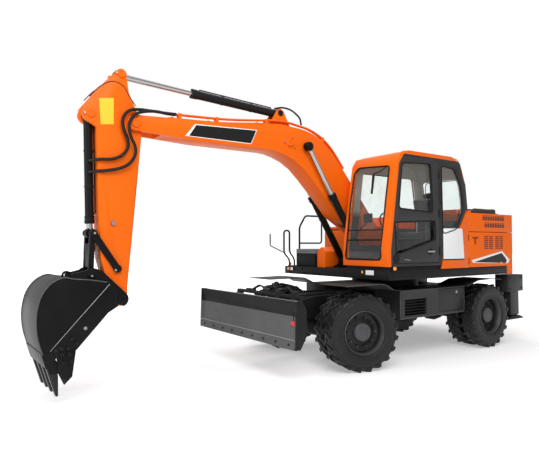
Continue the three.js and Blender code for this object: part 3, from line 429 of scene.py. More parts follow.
finishes = {
    "orangePaint": {"color": (0.93, 0.145, 0.003, 1), "rough": 0.42, "coat": 0.03, "tone": 0.03, "dust": 0.05,
                    "specular": 0.14, "wearAndGlint": 0.25, "wearAndGlintColor": (0.25, 0.06, 0.02, 1), "bump": 0.08},
    "darkPaint": {"color": (0.011, 0.011, 0.0125, 1), "rough": 0.46, "tone": 0.2, "dust": 0.05, "wearAndGlint": 0.5,
                  "wearAndGlintColor": (0.09, 0.09, 0.095, 1), "specular": 0.12},
    "frameGrey": {"color": (0.03, 0.03, 0.032, 1), "rough": 0.46, "tone": 0.08, "dust": 0.06, "specular": 0.25,
                  "wearAndGlint": 0.3, "wearAndGlintColor": (0.12, 0.12, 0.125, 1)},
    "blackPaint": {"color": (0.005, 0.005, 0.0053, 1), "rough": 0.42, "tone": 0.25, "dust": 0.035, "wearAndGlint": 0.6,
                   "wearAndGlintColor": (0.09, 0.09, 0.09, 1), "wearAndGlintRadius": 0.006, "specular": 0.12},
    "bladeGrey": {"color": (0.10, 0.102, 0.106, 1), "rough": 0.55, "tone": 0.25, "dust": 0.06, "specular": 0.15,
                  "wearAndGlint": 0.5, "wearAndGlintColor": (0.35, 0.35, 0.36, 1)},
    "bareSteel": {"color": (0.34, 0.34, 0.35, 1), "rough": 0.38, "metal": 0.85, "tone": 0.3, "dust": 0.1},
    "chrome": {"color": (0.42, 0.41, 0.40, 1), "rough": 0.22, "metal": 1.0, "tone": 0.06, "dust": 0.05, "bump": 0.02},
    # painted highlight: on the tyres the worn-corner mask paints bluish glints along the lug edges
    "tyreRubber": {"color": (0.005, 0.005, 0.006, 1), "rough": 0.5, "tone": 0.3, "dust": 0.05, "scale": 420.0,
                   "bump": 0.3, "depth": 0.0012, "specular": 0.35, "wearAndGlint": 0.55,
                   "wearAndGlintColor": (0.075, 0.08, 0.09, 1), "wearAndGlintRadius": 0.007},
    # the worn-corner mask on the rims is worn paint on the edges, made brighter as a painted highlight on the flange
    # ring
    "rimPaint": {"color": (0.072, 0.072, 0.078, 1), "rough": 0.4, "tone": 0.15, "dust": 0.1, "specular": 0.3,
                 "wearAndGlint": 0.7, "wearAndGlintColor": (0.28, 0.28, 0.29, 1), "metal": 0.2},
    "hoseRubber": {"color": (0.006, 0.006, 0.006, 1), "rough": 0.5, "tone": 0.2, "dust": 0.06, "bump": 0.2,
                   "specular": 0.25},
    "sealRubber": {"color": (0.007, 0.007, 0.008, 1), "rough": 0.6, "tone": 0.1, "dust": 0.04, "specular": 0.2},
    "cabPlastic": {"color": (0.022, 0.022, 0.022, 1), "rough": 0.7, "tone": 0.12, "dust": 0.05, "scale": 700.0,
                   "bump": 0.35, "depth": 0.001},
    "cabLining": {"color": (0.43, 0.41, 0.37, 1), "rough": 0.85, "tone": 0.1, "dust": 0.05, "scale": 500.0,
                  "bump": 0.3},
    "castIron": {"color": (0.12, 0.12, 0.12, 1), "rough": 0.6, "metal": 0.6, "tone": 0.3, "dust": 0.3, "bump": 0.5,
                 "depth": 0.0015},
    "whitePlate": {"color": (0.93, 0.935, 0.94, 1), "rough": 0.45, "tone": 0.03, "dust": 0.05},
    "yellowPlate": {"color": (0.92, 0.58, 0.02, 1), "rough": 0.45, "tone": 0.04, "dust": 0.05},
    "decalBlack": {"color": (0.009, 0.009, 0.01, 1), "rough": 0.4, "tone": 0.05, "dust": 0.04, "specular": 0.2},
    # dark orange: painted shade in the louvre slots and the door latch recess, also the arm's weld seam and the boom
    # dots
    "darkOrangeShadeAndSeam": {"color": (0.11, 0.014, 0.003, 1), "rough": 0.6, "tone": 0.2, "dust": 0.1},
    "tagRed": {"color": (0.62, 0.03, 0.03, 1), "rough": 0.5, "tone": 0.05, "dust": 0.05},
    "amberLens": {"color": (0.95, 0.34, 0.02, 1), "rough": 0.15, "tone": 0.05, "dust": 0.03, "coat": 0.5},
    "redLens": {"color": (0.6, 0.01, 0.01, 1), "rough": 0.15, "tone": 0.05, "dust": 0.03, "coat": 0.5},
    "lampLens": {"color": (0.86, 0.88, 0.9, 1), "rough": 0.12, "tone": 0.03, "dust": 0.03, "coat": 0.5},
    "mirrorFace": {"color": (0.8, 0.82, 0.84, 1), "rough": 0.04, "metal": 1.0, "tone": 0.02, "dust": 0.02, "bump": 0.0},
}
paints = {key: coatedSurface(key, spec) for key, spec in finishes.items()}


def glassSurface():
    material, g, shader = newSurface("cabGlass")
    place = g.add("ShaderNodeTexCoord").outputs["Object"]
    film = g.ramp(g.noise(place, 5.0, 5.0, 0.6), 0.5, 0.8)
    g.wire(g.mix(film, (0.92, 0.96, 0.945, 1), (0.84, 0.88, 0.86, 1)), shader.inputs["Base Color"])
    g.wire(g.ramp(film, 0.0, 1.0, 0.015, 0.06), shader.inputs["Roughness"])
    shader.inputs["Transmission Weight"].default_value = 1.0
    shader.inputs["IOR"].default_value = 1.3
    return material


def fabricSurface():
    material, g, shader = newSurface("seatCloth")
    place = g.add("ShaderNodeTexCoord").outputs["Object"]
    threads = []
    for direction in ("X", "Y"):
        wave = g.add("ShaderNodeTexWave", bands_direction=direction)
        g.wire(place, wave.inputs["Vector"])
        wave.inputs["Scale"].default_value = 90.0
        wave.inputs["Distortion"].default_value = 1.2
        threads.append(wave.outputs["Fac"])
    weave = g.times(threads[0], threads[1])
    fuzz = g.noise(place, 40.0, 5.0)
    tone = g.plus(g.times(weave, 0.5), g.times(fuzz, 0.5))
    g.wire(g.mix(tone, (0.018, 0.019, 0.022, 1), (0.065, 0.067, 0.075, 1)), shader.inputs["Base Color"])
    shader.inputs["Roughness"].default_value = 0.92
    shader.inputs["Sheen Weight"].default_value = 0.25
    addRelief(g, shader, tone, 0.4, 0.002)
    return material


paints["cabGlass"] = glassSurface()
paints["seatCloth"] = fabricSurface()


def placeOf(g):
    # forward, left and height of a point, from the middle of the wheelbase
    split = g.add("ShaderNodeSeparateXYZ")
    g.wire(g.add("ShaderNodeTexCoord").outputs["Object"], split.inputs[0])
    return g.minus(split.outputs["X"], midX), split.outputs["Y"], split.outputs["Z"]


def less(g, a, b, soft=0.002):
    # 1 where a is below b, with a soft step between
    return g.ramp(g.minus(b, a), -soft, soft)


# each line is its height, its place forward there and its slope
cabTones = {"screenLines": ((1.645, 1.036, 0.143), (2.33, 0.938, 0.155), (2.89, 0.851, 0.708)),
            "rearLines": ((2.3, -0.77, 0.0), (2.3, -0.77, 0.125), (2.7, -0.72, 0.406), (3.02, -0.59, 2.8)),
            "sideFrom": 1.19, "sideTop": 3.042, "backFrom": -0.60, "backTop": 3.0, "wall": 0.0225, "screenWall": 0.022,
            "insideLeft": 1.2175, "insideRight": 0.334, "insideTop": 3.068, "sill": 2.2,
            "lowLining": (0.05, 0.05, 0.048, 1)}


def cabColors(g):
    # orange front frame and roof, grey left side and back, light lining inside
    x, y, z = placeOf(g)
    t = cabTones
    front = t["screenLines"][0][1]
    for height, forward, slope in t["screenLines"]:
        front = g.math("MINIMUM", g.plus(g.times(g.minus(z, height), -slope), forward), front)
    side = g.times(less(g, t["sideFrom"], y), g.times(less(g, x, front), less(g, z, t["sideTop"])))
    back = g.times(less(g, x, t["backFrom"]), less(g, z, t["backTop"]))
    inside = g.times(less(g, y, t["insideLeft"]), less(g, t["insideRight"], y))
    inside = g.times(inside, less(g, x, g.minus(front, t["screenWall"])))
    for height, rear, slope in t["rearLines"]:
        line = g.plus(g.times(g.minus(z, height), slope), rear + t["wall"] * math.hypot(1, slope))
        inside = g.times(inside, less(g, line, x))
    inside = g.times(inside, less(g, z, t["insideTop"]))
    shell = g.mix(g.math("MAXIMUM", side, back), finishes["orangePaint"]["color"], finishes["frameGrey"]["color"])
    lining = g.mix(less(g, z, t["sill"], 0.05), finishes["cabLining"]["color"], t["lowLining"])
    return g.mix(inside, shell, lining)


bladeTones = {"bandFrom": 0.835, "behind": 2.672, "rubbed": (0.536, 0.552), "lowTo": 0.53, "endFrom": 1.232,
              "face": (0.105, 0.106, 0.11, 1), "low": (0.075, 0.075, 0.078, 1), "bright": (0.36, 0.36, 0.37, 1)}


def bladeColors(g):
    # dark band along the top, grey face, bright rubbed line above the cutting edge
    x, y, z = placeOf(g)
    t = bladeTones
    rubLow, rubHigh = t["rubbed"]
    face = g.mix(less(g, z, t["lowTo"]), t["face"], t["low"])
    face = g.mix(g.times(less(g, rubLow, z), less(g, z, rubHigh)), face, t["bright"])
    dark = g.math("MAXIMUM", less(g, t["bandFrom"], z), less(g, x, t["behind"]))
    face = g.mix(dark, face, finishes["blackPaint"]["color"])
    return g.mix(less(g, t["endFrom"], y), face, finishes["darkPaint"]["color"])


bucketTones = {"streak": (1.6, 26.0, 0.6), "halfWidth": 0.398, "backFrom": 5.2, "tips": (0.32, 0.14),
               "steelAndSheen": (0.27, 0.268, 0.26, 1)}


def bucketColors(g):
    # black shell; its back carries grey steel streaks, partly rubbed steel and partly painted sheen, and its lip and
    # teeth are rubbed to grey steel
    x, y, z = placeOf(g)
    t = bucketTones
    streak = g.add("ShaderNodeMapping")
    streak.inputs["Scale"].default_value = t["streak"]
    g.wire(g.add("ShaderNodeTexCoord").outputs["Object"], streak.inputs["Vector"])
    scratchesAndSheen = g.ramp(g.noise(streak.outputs[0], 2.4, 2.0, 0.4), 0.25, 0.85)
    middle = g.times(less(g, g.math("ABSOLUTE", y), t["halfWidth"], 0.001), less(g, t["backFrom"], x, 0.15))
    # painted sheen: the back's grey streaks also stand in for the light sheen across it
    back = g.times(g.plus(g.times(scratchesAndSheen, 0.2), 0.1), middle)
    tips = g.times(g.ramp(z, *t["tips"]), g.plus(g.times(scratchesAndSheen, 0.25), 0.04))
    return g.mix(g.math("MAXIMUM", back, tips), finishes["blackPaint"]["color"], t["steelAndSheen"])


boxTones = {"rubTo": 0.632, "rubFace": 1.09, "rubbed": (0.16, 0.16, 0.165, 1),
            "lidFrom": 1.565, "lid": (0.17, 0.175, 0.185, 1)}


def sideBoxColors(g):
    # a rubbed strip along the lower edge of the outer face
    _, y, z = placeOf(g)
    rub = g.times(less(g, z, boxTones["rubTo"]), less(g, boxTones["rubFace"], y))
    return g.mix(rub, finishes["frameGrey"]["color"], boxTones["rubbed"])


def batteryColors(g):
    # the battery box's lid is lighter
    _, _, z = placeOf(g)
    return g.mix(less(g, boxTones["lidFrom"], z), finishes["darkPaint"]["color"], boxTones["lid"])


def rimColorsWithShade(g):
    # painted shade: the recessed dish between flange and hub is painted near black; its mask comes with the mesh
    mask = g.add("ShaderNodeAttribute")
    mask.attribute_name = "dish"
    return g.mix(mask.outputs["Fac"], finishes["rimPaint"]["color"], (0.006, 0.006, 0.0065, 1))


for text, base, colorOf in (("wheelRim", "rimPaint", rimColorsWithShade), ("cabShell", "orangePaint", cabColors),
                            ("bladeFace", "bladeGrey", bladeColors), ("bucketShell", "blackPaint", bucketColors),
                            ("batteryGrey", "darkPaint", batteryColors), ("boxGrey", "frameGrey", sideBoxColors)):
    paints[text] = coatedSurface(text, finishes[base], colorOf)
print("stage: finishes")


axes = {"x": (1, 2, 0), "y": (0, 2, 1)}  # outline's two directions, then the thickness


def plate(text, points, axis, start, thick, bevel=0.002, segments=2):
    # a flat outline, drawn as one face and pushed out along an axis
    u, v, w = axes[axis]
    bpy.ops.mesh.primitive_circle_add(vertices=len(points), radius=1, fill_type="NGON")
    o = newest(text)
    for vertex, (a, b) in zip(o.data.vertices, points):
        spot = [0.0, 0.0, 0.0]
        spot[u], spot[v], spot[w] = a, b, start
        vertex.co = at(*spot)
    push = [0.0, 0.0, 0.0]
    push[w] = thick
    editAll(o)
    bpy.ops.mesh.extrude_region_move(TRANSFORM_OT_translate={"value": push})
    faceOut(o)
    if bevel:
        roundEdges(o, bevel, segments)
    return settle(o)


def slab(text, low, high, bevel=0.004, segments=2):
    # a box between two corners with eased edges
    middle = (at(*low) + at(*high)) / 2
    bpy.ops.mesh.primitive_cube_add(size=1, location=middle, scale=[abs(b - a) for a, b in zip(low, high)])
    o = newest(text)
    settle(o)
    if bevel:
        roundEdges(o, bevel, segments)
    return settle(o)


def onSide(points, y):
    # places forward and up, set at one distance from the middle
    return [(x, y, z) for x, z in points]


def roundedRoute(points, bend, closed=False):
    # corners eased by short curves
    corners = [Vector(p) for p in points]
    last = len(corners) - 1
    route = []
    for i, corner in enumerate(corners):
        if not closed and i in (0, last):
            route.append(corner)
            continue
        before, after = corners[i - 1], corners[(i + 1) % len(corners)]
        reach = min(bend, (before - corner).length * 0.45, (after - corner).length * 0.45)
        start, end = corner + (before - corner).normalized() * reach, corner + (after - corner).normalized() * reach
        for k in range(6):
            t = k / 5
            route.append(start * (1 - t) ** 2 + corner * 2 * t * (1 - t) + end * t ** 2)
    return route


def smoothRoute(points, steps):
    # one soft curve through every point
    knots = [Vector(p) for p in points]
    ends = [knots[0] * 2 - knots[1]] + knots + [knots[-1] * 2 - knots[-2]]
    route = []
    for i in range(1, len(ends) - 2):
        a, b, c, d = ends[i - 1:i + 3]
        for k in range(steps):
            t = k / steps
            route.append(0.5 * (b * 2 + (c - a) * t + (a * 2 - b * 5 + c * 4 - d) * t ** 2
                                + (b * 3 - a - c * 3 + d) * t ** 3))
    return route + [knots[-1]]


def pipe(text, route, radius, roundness=3, closed=False):
    # a round bar or hose along a route, ends capped
    bpy.ops.curve.primitive_bezier_curve_add()
    o = newest(text)
    o.location = (0, 0, 0)
    o.data.splines.clear()
    spline = o.data.splines.new("POLY")
    spline.points.add(len(route) - 1)
    for point, spot in zip(spline.points, route):
        point.co = (*at(*spot), 1)
    spline.use_cyclic_u = closed
    o.data.bevel_depth = radius
    o.data.bevel_resolution = roundness
    o.data.use_fill_caps = not closed
    pick(o)
    bpy.ops.object.convert(target="MESH")
    faceOut(bpy.context.object, radius * 0.02)
    return settle(newest(text), 45)


def bentPipe(text, points, bend, radius, roundness=3, closed=False):
    return pipe(text, roundedRoute(points, bend, closed), radius, roundness, closed)


def softPipe(text, points, steps, radius, roundness=3):
    return pipe(text, smoothRoute(points, steps), radius, roundness)


def rod(text, start, end, radius, roundness=3):
    return pipe(text, [Vector(start), Vector(end)], radius, roundness)


def lathe(text, profile, origin, direction, steps=32, smooth=30):
    # closed outline of (radius, distance along) points turned once about a line
    along = Vector(direction).normalized()
    across = along.orthogonal().normalized()
    base = at(*origin)
    bpy.ops.mesh.primitive_circle_add(vertices=len(profile), radius=1, fill_type="NOTHING")
    o = newest(text)
    for vertex, (radius, distance) in zip(o.data.vertices, profile):
        vertex.co = base + along * distance + across * radius
    editAll(o)
    bpy.ops.mesh.spin(steps=steps, angle=2 * math.pi, center=base, axis=along)
    bpy.ops.mesh.select_all(action="SELECT")
    bpy.ops.mesh.remove_doubles(threshold=0.00005)
    bpy.ops.mesh.dissolve_degenerate(threshold=0.00001)
    faceOut(o)
    return settle(o, smooth)


def barrelOf(text, place, radius, half, steps):
    # a plain upright cylinder, as a hinge's
    return lathe(text, [(0, -half), (radius, -half), (radius, half), (0, half)], place, (0, 0, 1), steps)


def boltHeads(text, spots, direction, radius=0.012, height=0.01):
    # six-sided heads with a sunk middle, one modelled and the rest copied
    bpy.ops.mesh.primitive_cylinder_add(vertices=6, radius=radius, depth=height, location=(0, 0, height / 2))
    one = newest(text)
    sinkFaces(one, lambda f: f.normal.z > 0.9, radius * 0.25, (0, 0, -height * 0.15))
    settle(one)
    turn = Vector(direction).normalized().to_track_quat("Z", "Y").to_matrix().to_4x4()
    copies = [copyOf(one, text, Matrix.Translation(at(*spot)) @ turn) for spot in spots]
    bpy.data.objects.remove(one)
    return gather(text, copies)


def cadCopy(node, text, bevel=0.004, segments=2):
    o = copyOf(nodes[node], text)
    editAll(o)
    bpy.ops.mesh.remove_doubles(threshold=0.0001)
    bpy.ops.mesh.dissolve_limited(angle_limit=math.radians(1.5))
    leaveEdit()
    return settle(roundEdges(o, bevel, segments))


# copies of the frame's sheet and plate work, corners eased

sheetWork = {
    "chassis_frame": ("undercarriage", "dark_paint", "darkPaint", 0.004),
    "front_axle": ("undercarriage", "dark_paint", "darkPaint", 0.006),
    "rear_axle": ("undercarriage", "dark_paint", "darkPaint", 0.006),
    "side_box_left": ("undercarriage", "dark_paint", "boxGrey", 0.004),
    "side_box_right": ("undercarriage", "dark_paint", "boxGrey", 0.004),
    "side_box_door": ("side_box_lid", "dark_paint", "frameGrey", 0.005),
    "outrigger_beam": ("undercarriage", "dark_paint", "frameGrey", 0.006),
    "outrigger_leg_left": ("outrigger_left", "dark_paint", "darkPaint", 0.005),
    "outrigger_leg_right": ("outrigger_right", "dark_paint", "darkPaint", 0.005),
    "knuckle_left": ("steer_left", "dark_paint", "darkPaint", 0.004),
    "knuckle_right": ("steer_right", "dark_paint", "darkPaint", 0.004),
    "blade_arms": ("blade_frame", "dark_paint", "darkPaint", 0.004),
    "blade_links": ("blade_upper_links", "dark_paint", "darkPaint", 0.004),
    "blade": ("dozer_blade", "grey_paint", "bladeFace", 0.003),
    "upper_frame": ("house", "dark_paint", "darkPaint", 0.005),
    "counterweight": ("house", "orange_paint", "orangePaint", 0.012),
    "engine_hood": ("hood", "orange_paint", "orangePaint", 0.025),
    "engine_housing": ("house", "orange_paint", "orangePaint", 0.004),
    "engine_door_left": ("bay_door_left", "orange_paint", "orangePaint", 0.008),
    "engine_door_right": ("bay_door_right", "orange_paint", "orangePaint", 0.008),
    "cab_shell": ("house", "orange_paint", "cabShell", 0.01),
    "cab_door": ("door", "dark_paint", "frameGrey", 0.007),
    "console": ("house", "cab_plastic", "cabPlastic", 0.015),
    "tank_right": ("house", "orange_paint", "orangePaint", 0.02),
    "battery_box": ("house", "dark_paint", "batteryGrey", 0.012),
    "foot_cover": ("house", "orange_paint", "orangePaint", 0.012),
    "boom": ("boom_body", "orange_paint", "orangePaint", 0.004),
    "arm": ("arm_body", "orange_paint", "orangePaint", 0.004),
    "rocker": ("rocker_body", "dark_paint", "blackPaint", 0.004),
    "bucket_link": ("link_body", "dark_paint", "blackPaint", 0.004),
    "bucket": ("bucket_body", "black_paint", "bucketShell", 0.003),
}
for node, (body, slotName, paintName, bevel) in sheetWork.items():
    eased = cadCopy(node, node + "Eased", bevel, 3 if bevel > 0.01 else 2)
    finish(eased, body, paintName, [node])
for node in ("windshield", "quarter_glass", "right_glass", "rear_glass", "door_glass"):
    nodes[node].data.materials.clear()
    nodes[node].data.materials.append(paints["cabGlass"])
print("stage: eased copies of the frame")

# the wall's points are radius and depth below the face, from the bead to the shoulder
tyre = {"wall": [(0.3002, 0.02), (0.315, 0.008), (0.36, 0.001), (0.42, 0.0005), (0.465, 0.006), (0.49, 0.018),
                 (0.502, 0.034), (0.508, 0.06)],
        "crown": 0.510, "bead": 0.3002, "rings": (0.335, 0.43), "lugs": 20, "lugWidth": 0.052, "lugSkew": 0.075}
rim = {"lip": 0.2995, "well": 0.262, "dish": 0.235, "disc": 0.165, "hub": 0.118, "middle": 0.845,
       "nuts": 10, "nutCircle": 0.2, "bolts": 8, "boltCircle": 0.088}


def axleAt(x):
    return x, 0, wheels["radius"]


def ringOf(x, y, radius, count, first=0.0):
    # places round a wheel's axle
    angles = [2 * math.pi * (i + first) / count for i in range(count)]
    return [(x + radius * math.cos(a), y, wheels["radius"] + radius * math.sin(a)) for a in angles]


def buildTwinTyres(x):
    outer, width, gap = wheels["track"], wheels["width"], wheels["gap"]
    parts = []
    for face in (outer, outer - width - gap):
        low = face - width
        profile = [(r, face - deep) for r, deep in tyre["wall"]] + [(tyre["crown"], face - width / 2)]
        profile += [(r, low + deep) for r, deep in reversed(tyre["wall"])]
        parts.append(lathe("tyreCase", profile, axleAt(x), (0, 1, 0), 64, 40))
        parts.append(buildLugs(x, face - width / 2, width / 2))
    inner, top = outer - width - gap - 0.03, outer - width + 0.03
    spacer = [(tyre["bead"], inner), (0.335, inner), (0.335, top), (tyre["bead"], top)]
    parts.append(lathe("tyreSpacer", spacer, axleAt(x), (0, 1, 0), 48, 30))
    for radius in tyre["rings"]:  # raised rings on the outer wall
        ring = [(radius - 0.004, outer - 0.003), (radius, outer), (radius + 0.004, outer - 0.003),
                (radius, outer - 0.012)]
        parts.append(lathe("wallRing", ring, axleAt(x), (0, 1, 0), 64, 60))
    return gather("tyrePair", parts)


def buildLugs(x, middle, half):
    # one slanted lug with a shoulder block, copied round both halves of the tread
    bpy.ops.mesh.primitive_cube_add(size=1)
    one = newest("treadLug")
    for vertex in one.data.vertices:
        s, t, r = vertex.co
        wide = tyre["lugWidth"] / 2 * (1.25 if t > 0 else 0.8) * (0.8 if r > 0 else 1.0)
        skew = tyre["lugSkew"] if t > 0 else -0.01
        reach = half - (0.001 if r < 0 else 0.008) if t > 0 else -0.012
        high = (0.470 if r < 0 else 0.5215) if t > 0 else (0.505 if r < 0 else 0.525)
        vertex.co = (s * 2 * wide + skew, reach, high)
    editAll(one)
    bpy.ops.mesh.subdivide(number_cuts=1)
    leaveEdit()
    for vertex in one.data.vertices:  # bring the outer end round the shoulder
        if half * 0.4 < vertex.co.y < half * 0.75 and vertex.co.z > 0.49:
            vertex.co.z = min(0.525, vertex.co.z + 0.006)
    roundEdges(one, 0.004, 1, 40)
    copies = []
    for side, first in ((1, 0), (-1, 0.5)):
        for i in range(tyre["lugs"]):
            angle = 2 * math.pi * (i + first) / tyre["lugs"]
            copy = copyOf(one, "treadLug", acrossScale(side))
            if side < 0:
                copy.data.flip_normals()
            copy.data.transform(Matrix.Translation(at(x, middle, wheels["radius"])) @ Matrix.Rotation(angle, 4, "Y"))
            copies.append(copy)
    bpy.data.objects.remove(one)
    return gather("treadLugs", copies)


def buildRim(x):
    outer = wheels["track"] - 0.012
    inner = wheels["track"] - 2 * wheels["width"] - wheels["gap"] + 0.024
    r = rim
    profile = [(r["well"], inner + 0.01), (r["lip"], inner), (r["lip"], outer), (0.292, outer + 0.006),
               (0.284, outer - 0.004), (0.282, outer - 0.03), (r["well"], outer - 0.055),
               (r["well"] - 0.006, outer - 0.118), (r["dish"], outer - 0.128), (r["disc"] + 0.02, outer - 0.122),
               (r["disc"], outer - 0.112), (0.14, outer - 0.108), (0.14, outer - 0.135), (r["dish"], outer - 0.15),
               (r["well"], outer - 0.16)]
    hub = [(0.0, r["middle"]), (0.135, r["middle"]), (0.14, outer - 0.115), (r["hub"] + 0.012, outer - 0.1),
           (r["hub"] + 0.006, outer - 0.062), (r["hub"] - 0.004, outer - 0.052), (0.07, outer - 0.047),
           (0.064, outer - 0.054), (0.03, outer - 0.05), (0.0, outer - 0.048)]
    nuts = ringOf(x, outer - 0.126, r["nutCircle"], r["nuts"])
    bolts = ringOf(x, outer - 0.051, r["boltCircle"], r["bolts"], 0.5)
    whole = gather("rimPair", [lathe("rimShell", profile, axleAt(x), (0, 1, 0), 56, 35),
                               lathe("hubDrum", hub, axleAt(x), (0, 1, 0), 40, 35),
                               boltHeads("wheelNuts", nuts, (0, 1, 0), 0.017, 0.026),
                               boltHeads("hubBolts", bolts, (0, 1, 0), 0.009, 0.008)])
    centre = at(*axleAt(x))
    # painted shade: the dish, set back behind the flange, gets a mask that darkens it
    dish = whole.data.attributes.new("dish", "FLOAT", "POINT")
    for vertex in whole.data.vertices:
        away = math.hypot(vertex.co.x - centre.x, vertex.co.z - centre.z)
        inside = 0.13 < away < r["well"] + 0.001 and vertex.co.y < outer - 0.05
        dish.data[vertex.index].value = 0.9 if inside else 0.0
    return whole


def placeWheels():
    kinds = (("tyres", buildTwinTyres, "tyre_rubber", "tyreRubber"), ("rim", buildRim, "rim_paint", "wheelRim"))
    for end, x in (("front", wheels["base"]), ("rear", -wheels["base"])):
        pairs = [build(x) for _, build, _, _ in kinds]
        for side, sign in sides:
            for (kind, _, slotName, paintName), source in zip(kinds, pairs):
                copy = (copyOf if sign > 0 else mirrorAcross)(source, f"{kind}Detailed{end.title()}{side}")
                if end == "front":
                    pin = at(x, sign * wheels["kingpin"], 0)
                    turn = Matrix.Rotation(math.radians(wheels["steer"]), 4, "Z")
                    copy.data.transform(Matrix.Translation(pin) @ turn @ Matrix.Translation(-pin))
                corner = f"{end}_{side.lower()}"
                finish(copy, f"wheel_{corner}", paintName, [f"{kind}_{corner}"])
        for source in pairs:
            bpy.data.objects.remove(source)


placeWheels()
print("stage: wheels")

# base and pin are each end's place forward and height; barrel and tail are lengths along the cylinder
rams = {
    "boom": {"base": (0.6, 1.45), "pin": (1.73, 3.18), "y": 0.248, "radius": 0.05, "rod": 0.036, "barrel": 1.245,
             "tail": 0.56, "eye": 0.068, "wide": 0.084, "rodWide": 0.084, "collar": 0.016},
    "arm": {"base": (2.131, 3.655), "pin": (4.49, 3.768), "y": 0.0, "radius": 0.058, "rod": 0.038, "barrel": 1.4,
            "tail": 0.765, "eye": 0.066, "wide": 0.1264, "rodWide": 0.088, "collar": 0.007},
    "bucket": {"base": (4.845, 3.235), "pin": (4.8, 1.852), "y": 0.0, "radius": 0.05, "rod": 0.034, "barrel": 1.275,
               "tail": 0.13, "eye": 0.06, "wide": 0.1224, "rodWide": 0.078, "collar": 0.007},
    "blade": {"base": (2.01, 1.06), "pin": (2.56, 0.93), "y": 0.15, "radius": 0.044, "rod": 0.028, "barrel": 0.4,
              "tail": 0.108, "eye": 0.042, "wide": 0.1004, "rodWide": 0.07, "collar": 0.007},
}


def eyeRing(text, spot, radius, wide, bore=0.03):
    half = wide / 2
    ring = [(bore, -half), (radius - 0.006, -half), (radius, -half + 0.006), (radius, half - 0.006),
            (radius - 0.006, half), (bore, half)]
    return lathe(text, ring, spot, (0, 1, 0), 32, 30)


def buildRam(key, y):
    s = rams[key]
    base, pin = (Vector((s[end][0], y, s[end][1])) for end in ("base", "pin"))
    along, length = (pin - base).normalized(), (pin - base).length
    r, b, eye, bar, collar = s["radius"], s["barrel"], s["eye"], s["rod"], s["collar"]
    gland = min(0.09, b * 0.2)
    tube = [(0, eye * 0.55), (r * 0.75, eye * 0.6), (r, eye * 0.6 + r * 0.3), (r, b - gland - 0.004),
            (r + collar - 0.001, b - gland), (r + collar - 0.001, b - gland + 0.03), (r + 0.003, b - gland + 0.033),
            (r + 0.003, b - gland + 0.042), (r + collar, b - gland + 0.045), (r + collar, b - 0.006), (r, b),
            (bar + 0.0015, b), (bar + 0.0015, b - gland), (0, b - gland)]
    parts = [lathe("barrelTube", tube, base, along), eyeRing("barrelEye", base, eye, s["wide"])]
    # feed tube along the barrel, on its upper side, held by two bands
    up = Vector((0, 1, 0)).cross(along).normalized()
    if up.z < 0:
        up = -up
    bore = 0.009 if r > 0.045 else 0.007
    low, high = base + along * (eye + 0.05), base + along * (b - gland - 0.03)
    lift = up * (r + bore + 0.006)
    feed = [low + up * r * 0.6, low + lift, high + lift, high + up * r * 0.6]
    parts.append(bentPipe("feedTube", feed, 0.02, bore, 2))
    band = [(r - 0.001, -0.011), (r + 0.004, -0.011), (r + 0.004, 0.011), (r - 0.001, 0.011)]
    parts += [lathe("tubeBand", band, low.lerp(high, t), along, 28) for t in (0.3, 0.7)]
    barrel = gather(key + "Barrel", parts)
    end = length - eye * 0.9
    profile = [(0, s["tail"]), (bar * 0.8, s["tail"]), (bar, s["tail"] + 0.01), (bar, end - 0.01), (bar + 0.006, end),
               (bar + 0.006, length - eye * 0.5), (0, length - eye * 0.5)]
    return barrel, lathe("rodBar", profile, base, along), eyeRing("rodEye", pin, eye, s["rodWide"])


ramPieces = [(key, side, sign) for key in ("boom", "blade") for side, sign in sides]
for key, side, sign in ramPieces + [("arm", "", 0), ("bucket", "", 0)]:
    pieces = buildRam(key, rams[key]["y"] * sign)
    for o, part in zip(pieces, ("Barrel", "RodBar", "RodEye")):
        o.name = key + part + side
    barrel, rodBar, rodEye = pieces
    tail = "_" + side.lower() if side else ""
    finish(barrel, f"{key}_barrel{tail}",
           "darkPaint" if key == "arm" else "blackPaint", [f"{key}_cylinder{tail}"])
    finish(rodBar, f"{key}_piston{tail}", "chrome", [f"{key}_rod{tail}"])
    finish(rodEye, f"{key}_piston{tail}", "blackPaint")
print("stage: hydraulic cylinders")


def clipAt(points, x, keepFront):
    # the part of an outline ahead of, or behind, a line across it
    kept = []
    for a, b in zip(points, points[1:] + points[:1]):
        inA, inB = (a[0] >= x) == keepFront, (b[0] >= x) == keepFront
        if inA:
            kept.append(a)
        if inA != inB:
            t = (x - a[0]) / (b[0] - a[0])
            kept.append((x, a[1] + (b[1] - a[1]) * t))
    return kept


bay = {"face": 1.2402, "split": -1.84,
       "stripe": [(-0.872, 1.462), (-1.755, 1.604), (-1.985, 1.452), (-1.93, 1.392), (-0.905, 1.42)],
       "stripeDark": [(-0.925, 1.43), (-1.743, 1.572), (-1.9, 1.45), (-1.873, 1.396)],
       "slats": (0.05, 0.2, 0.35, 0.5, 0.65, 0.8), "coverSlope": 0.18}


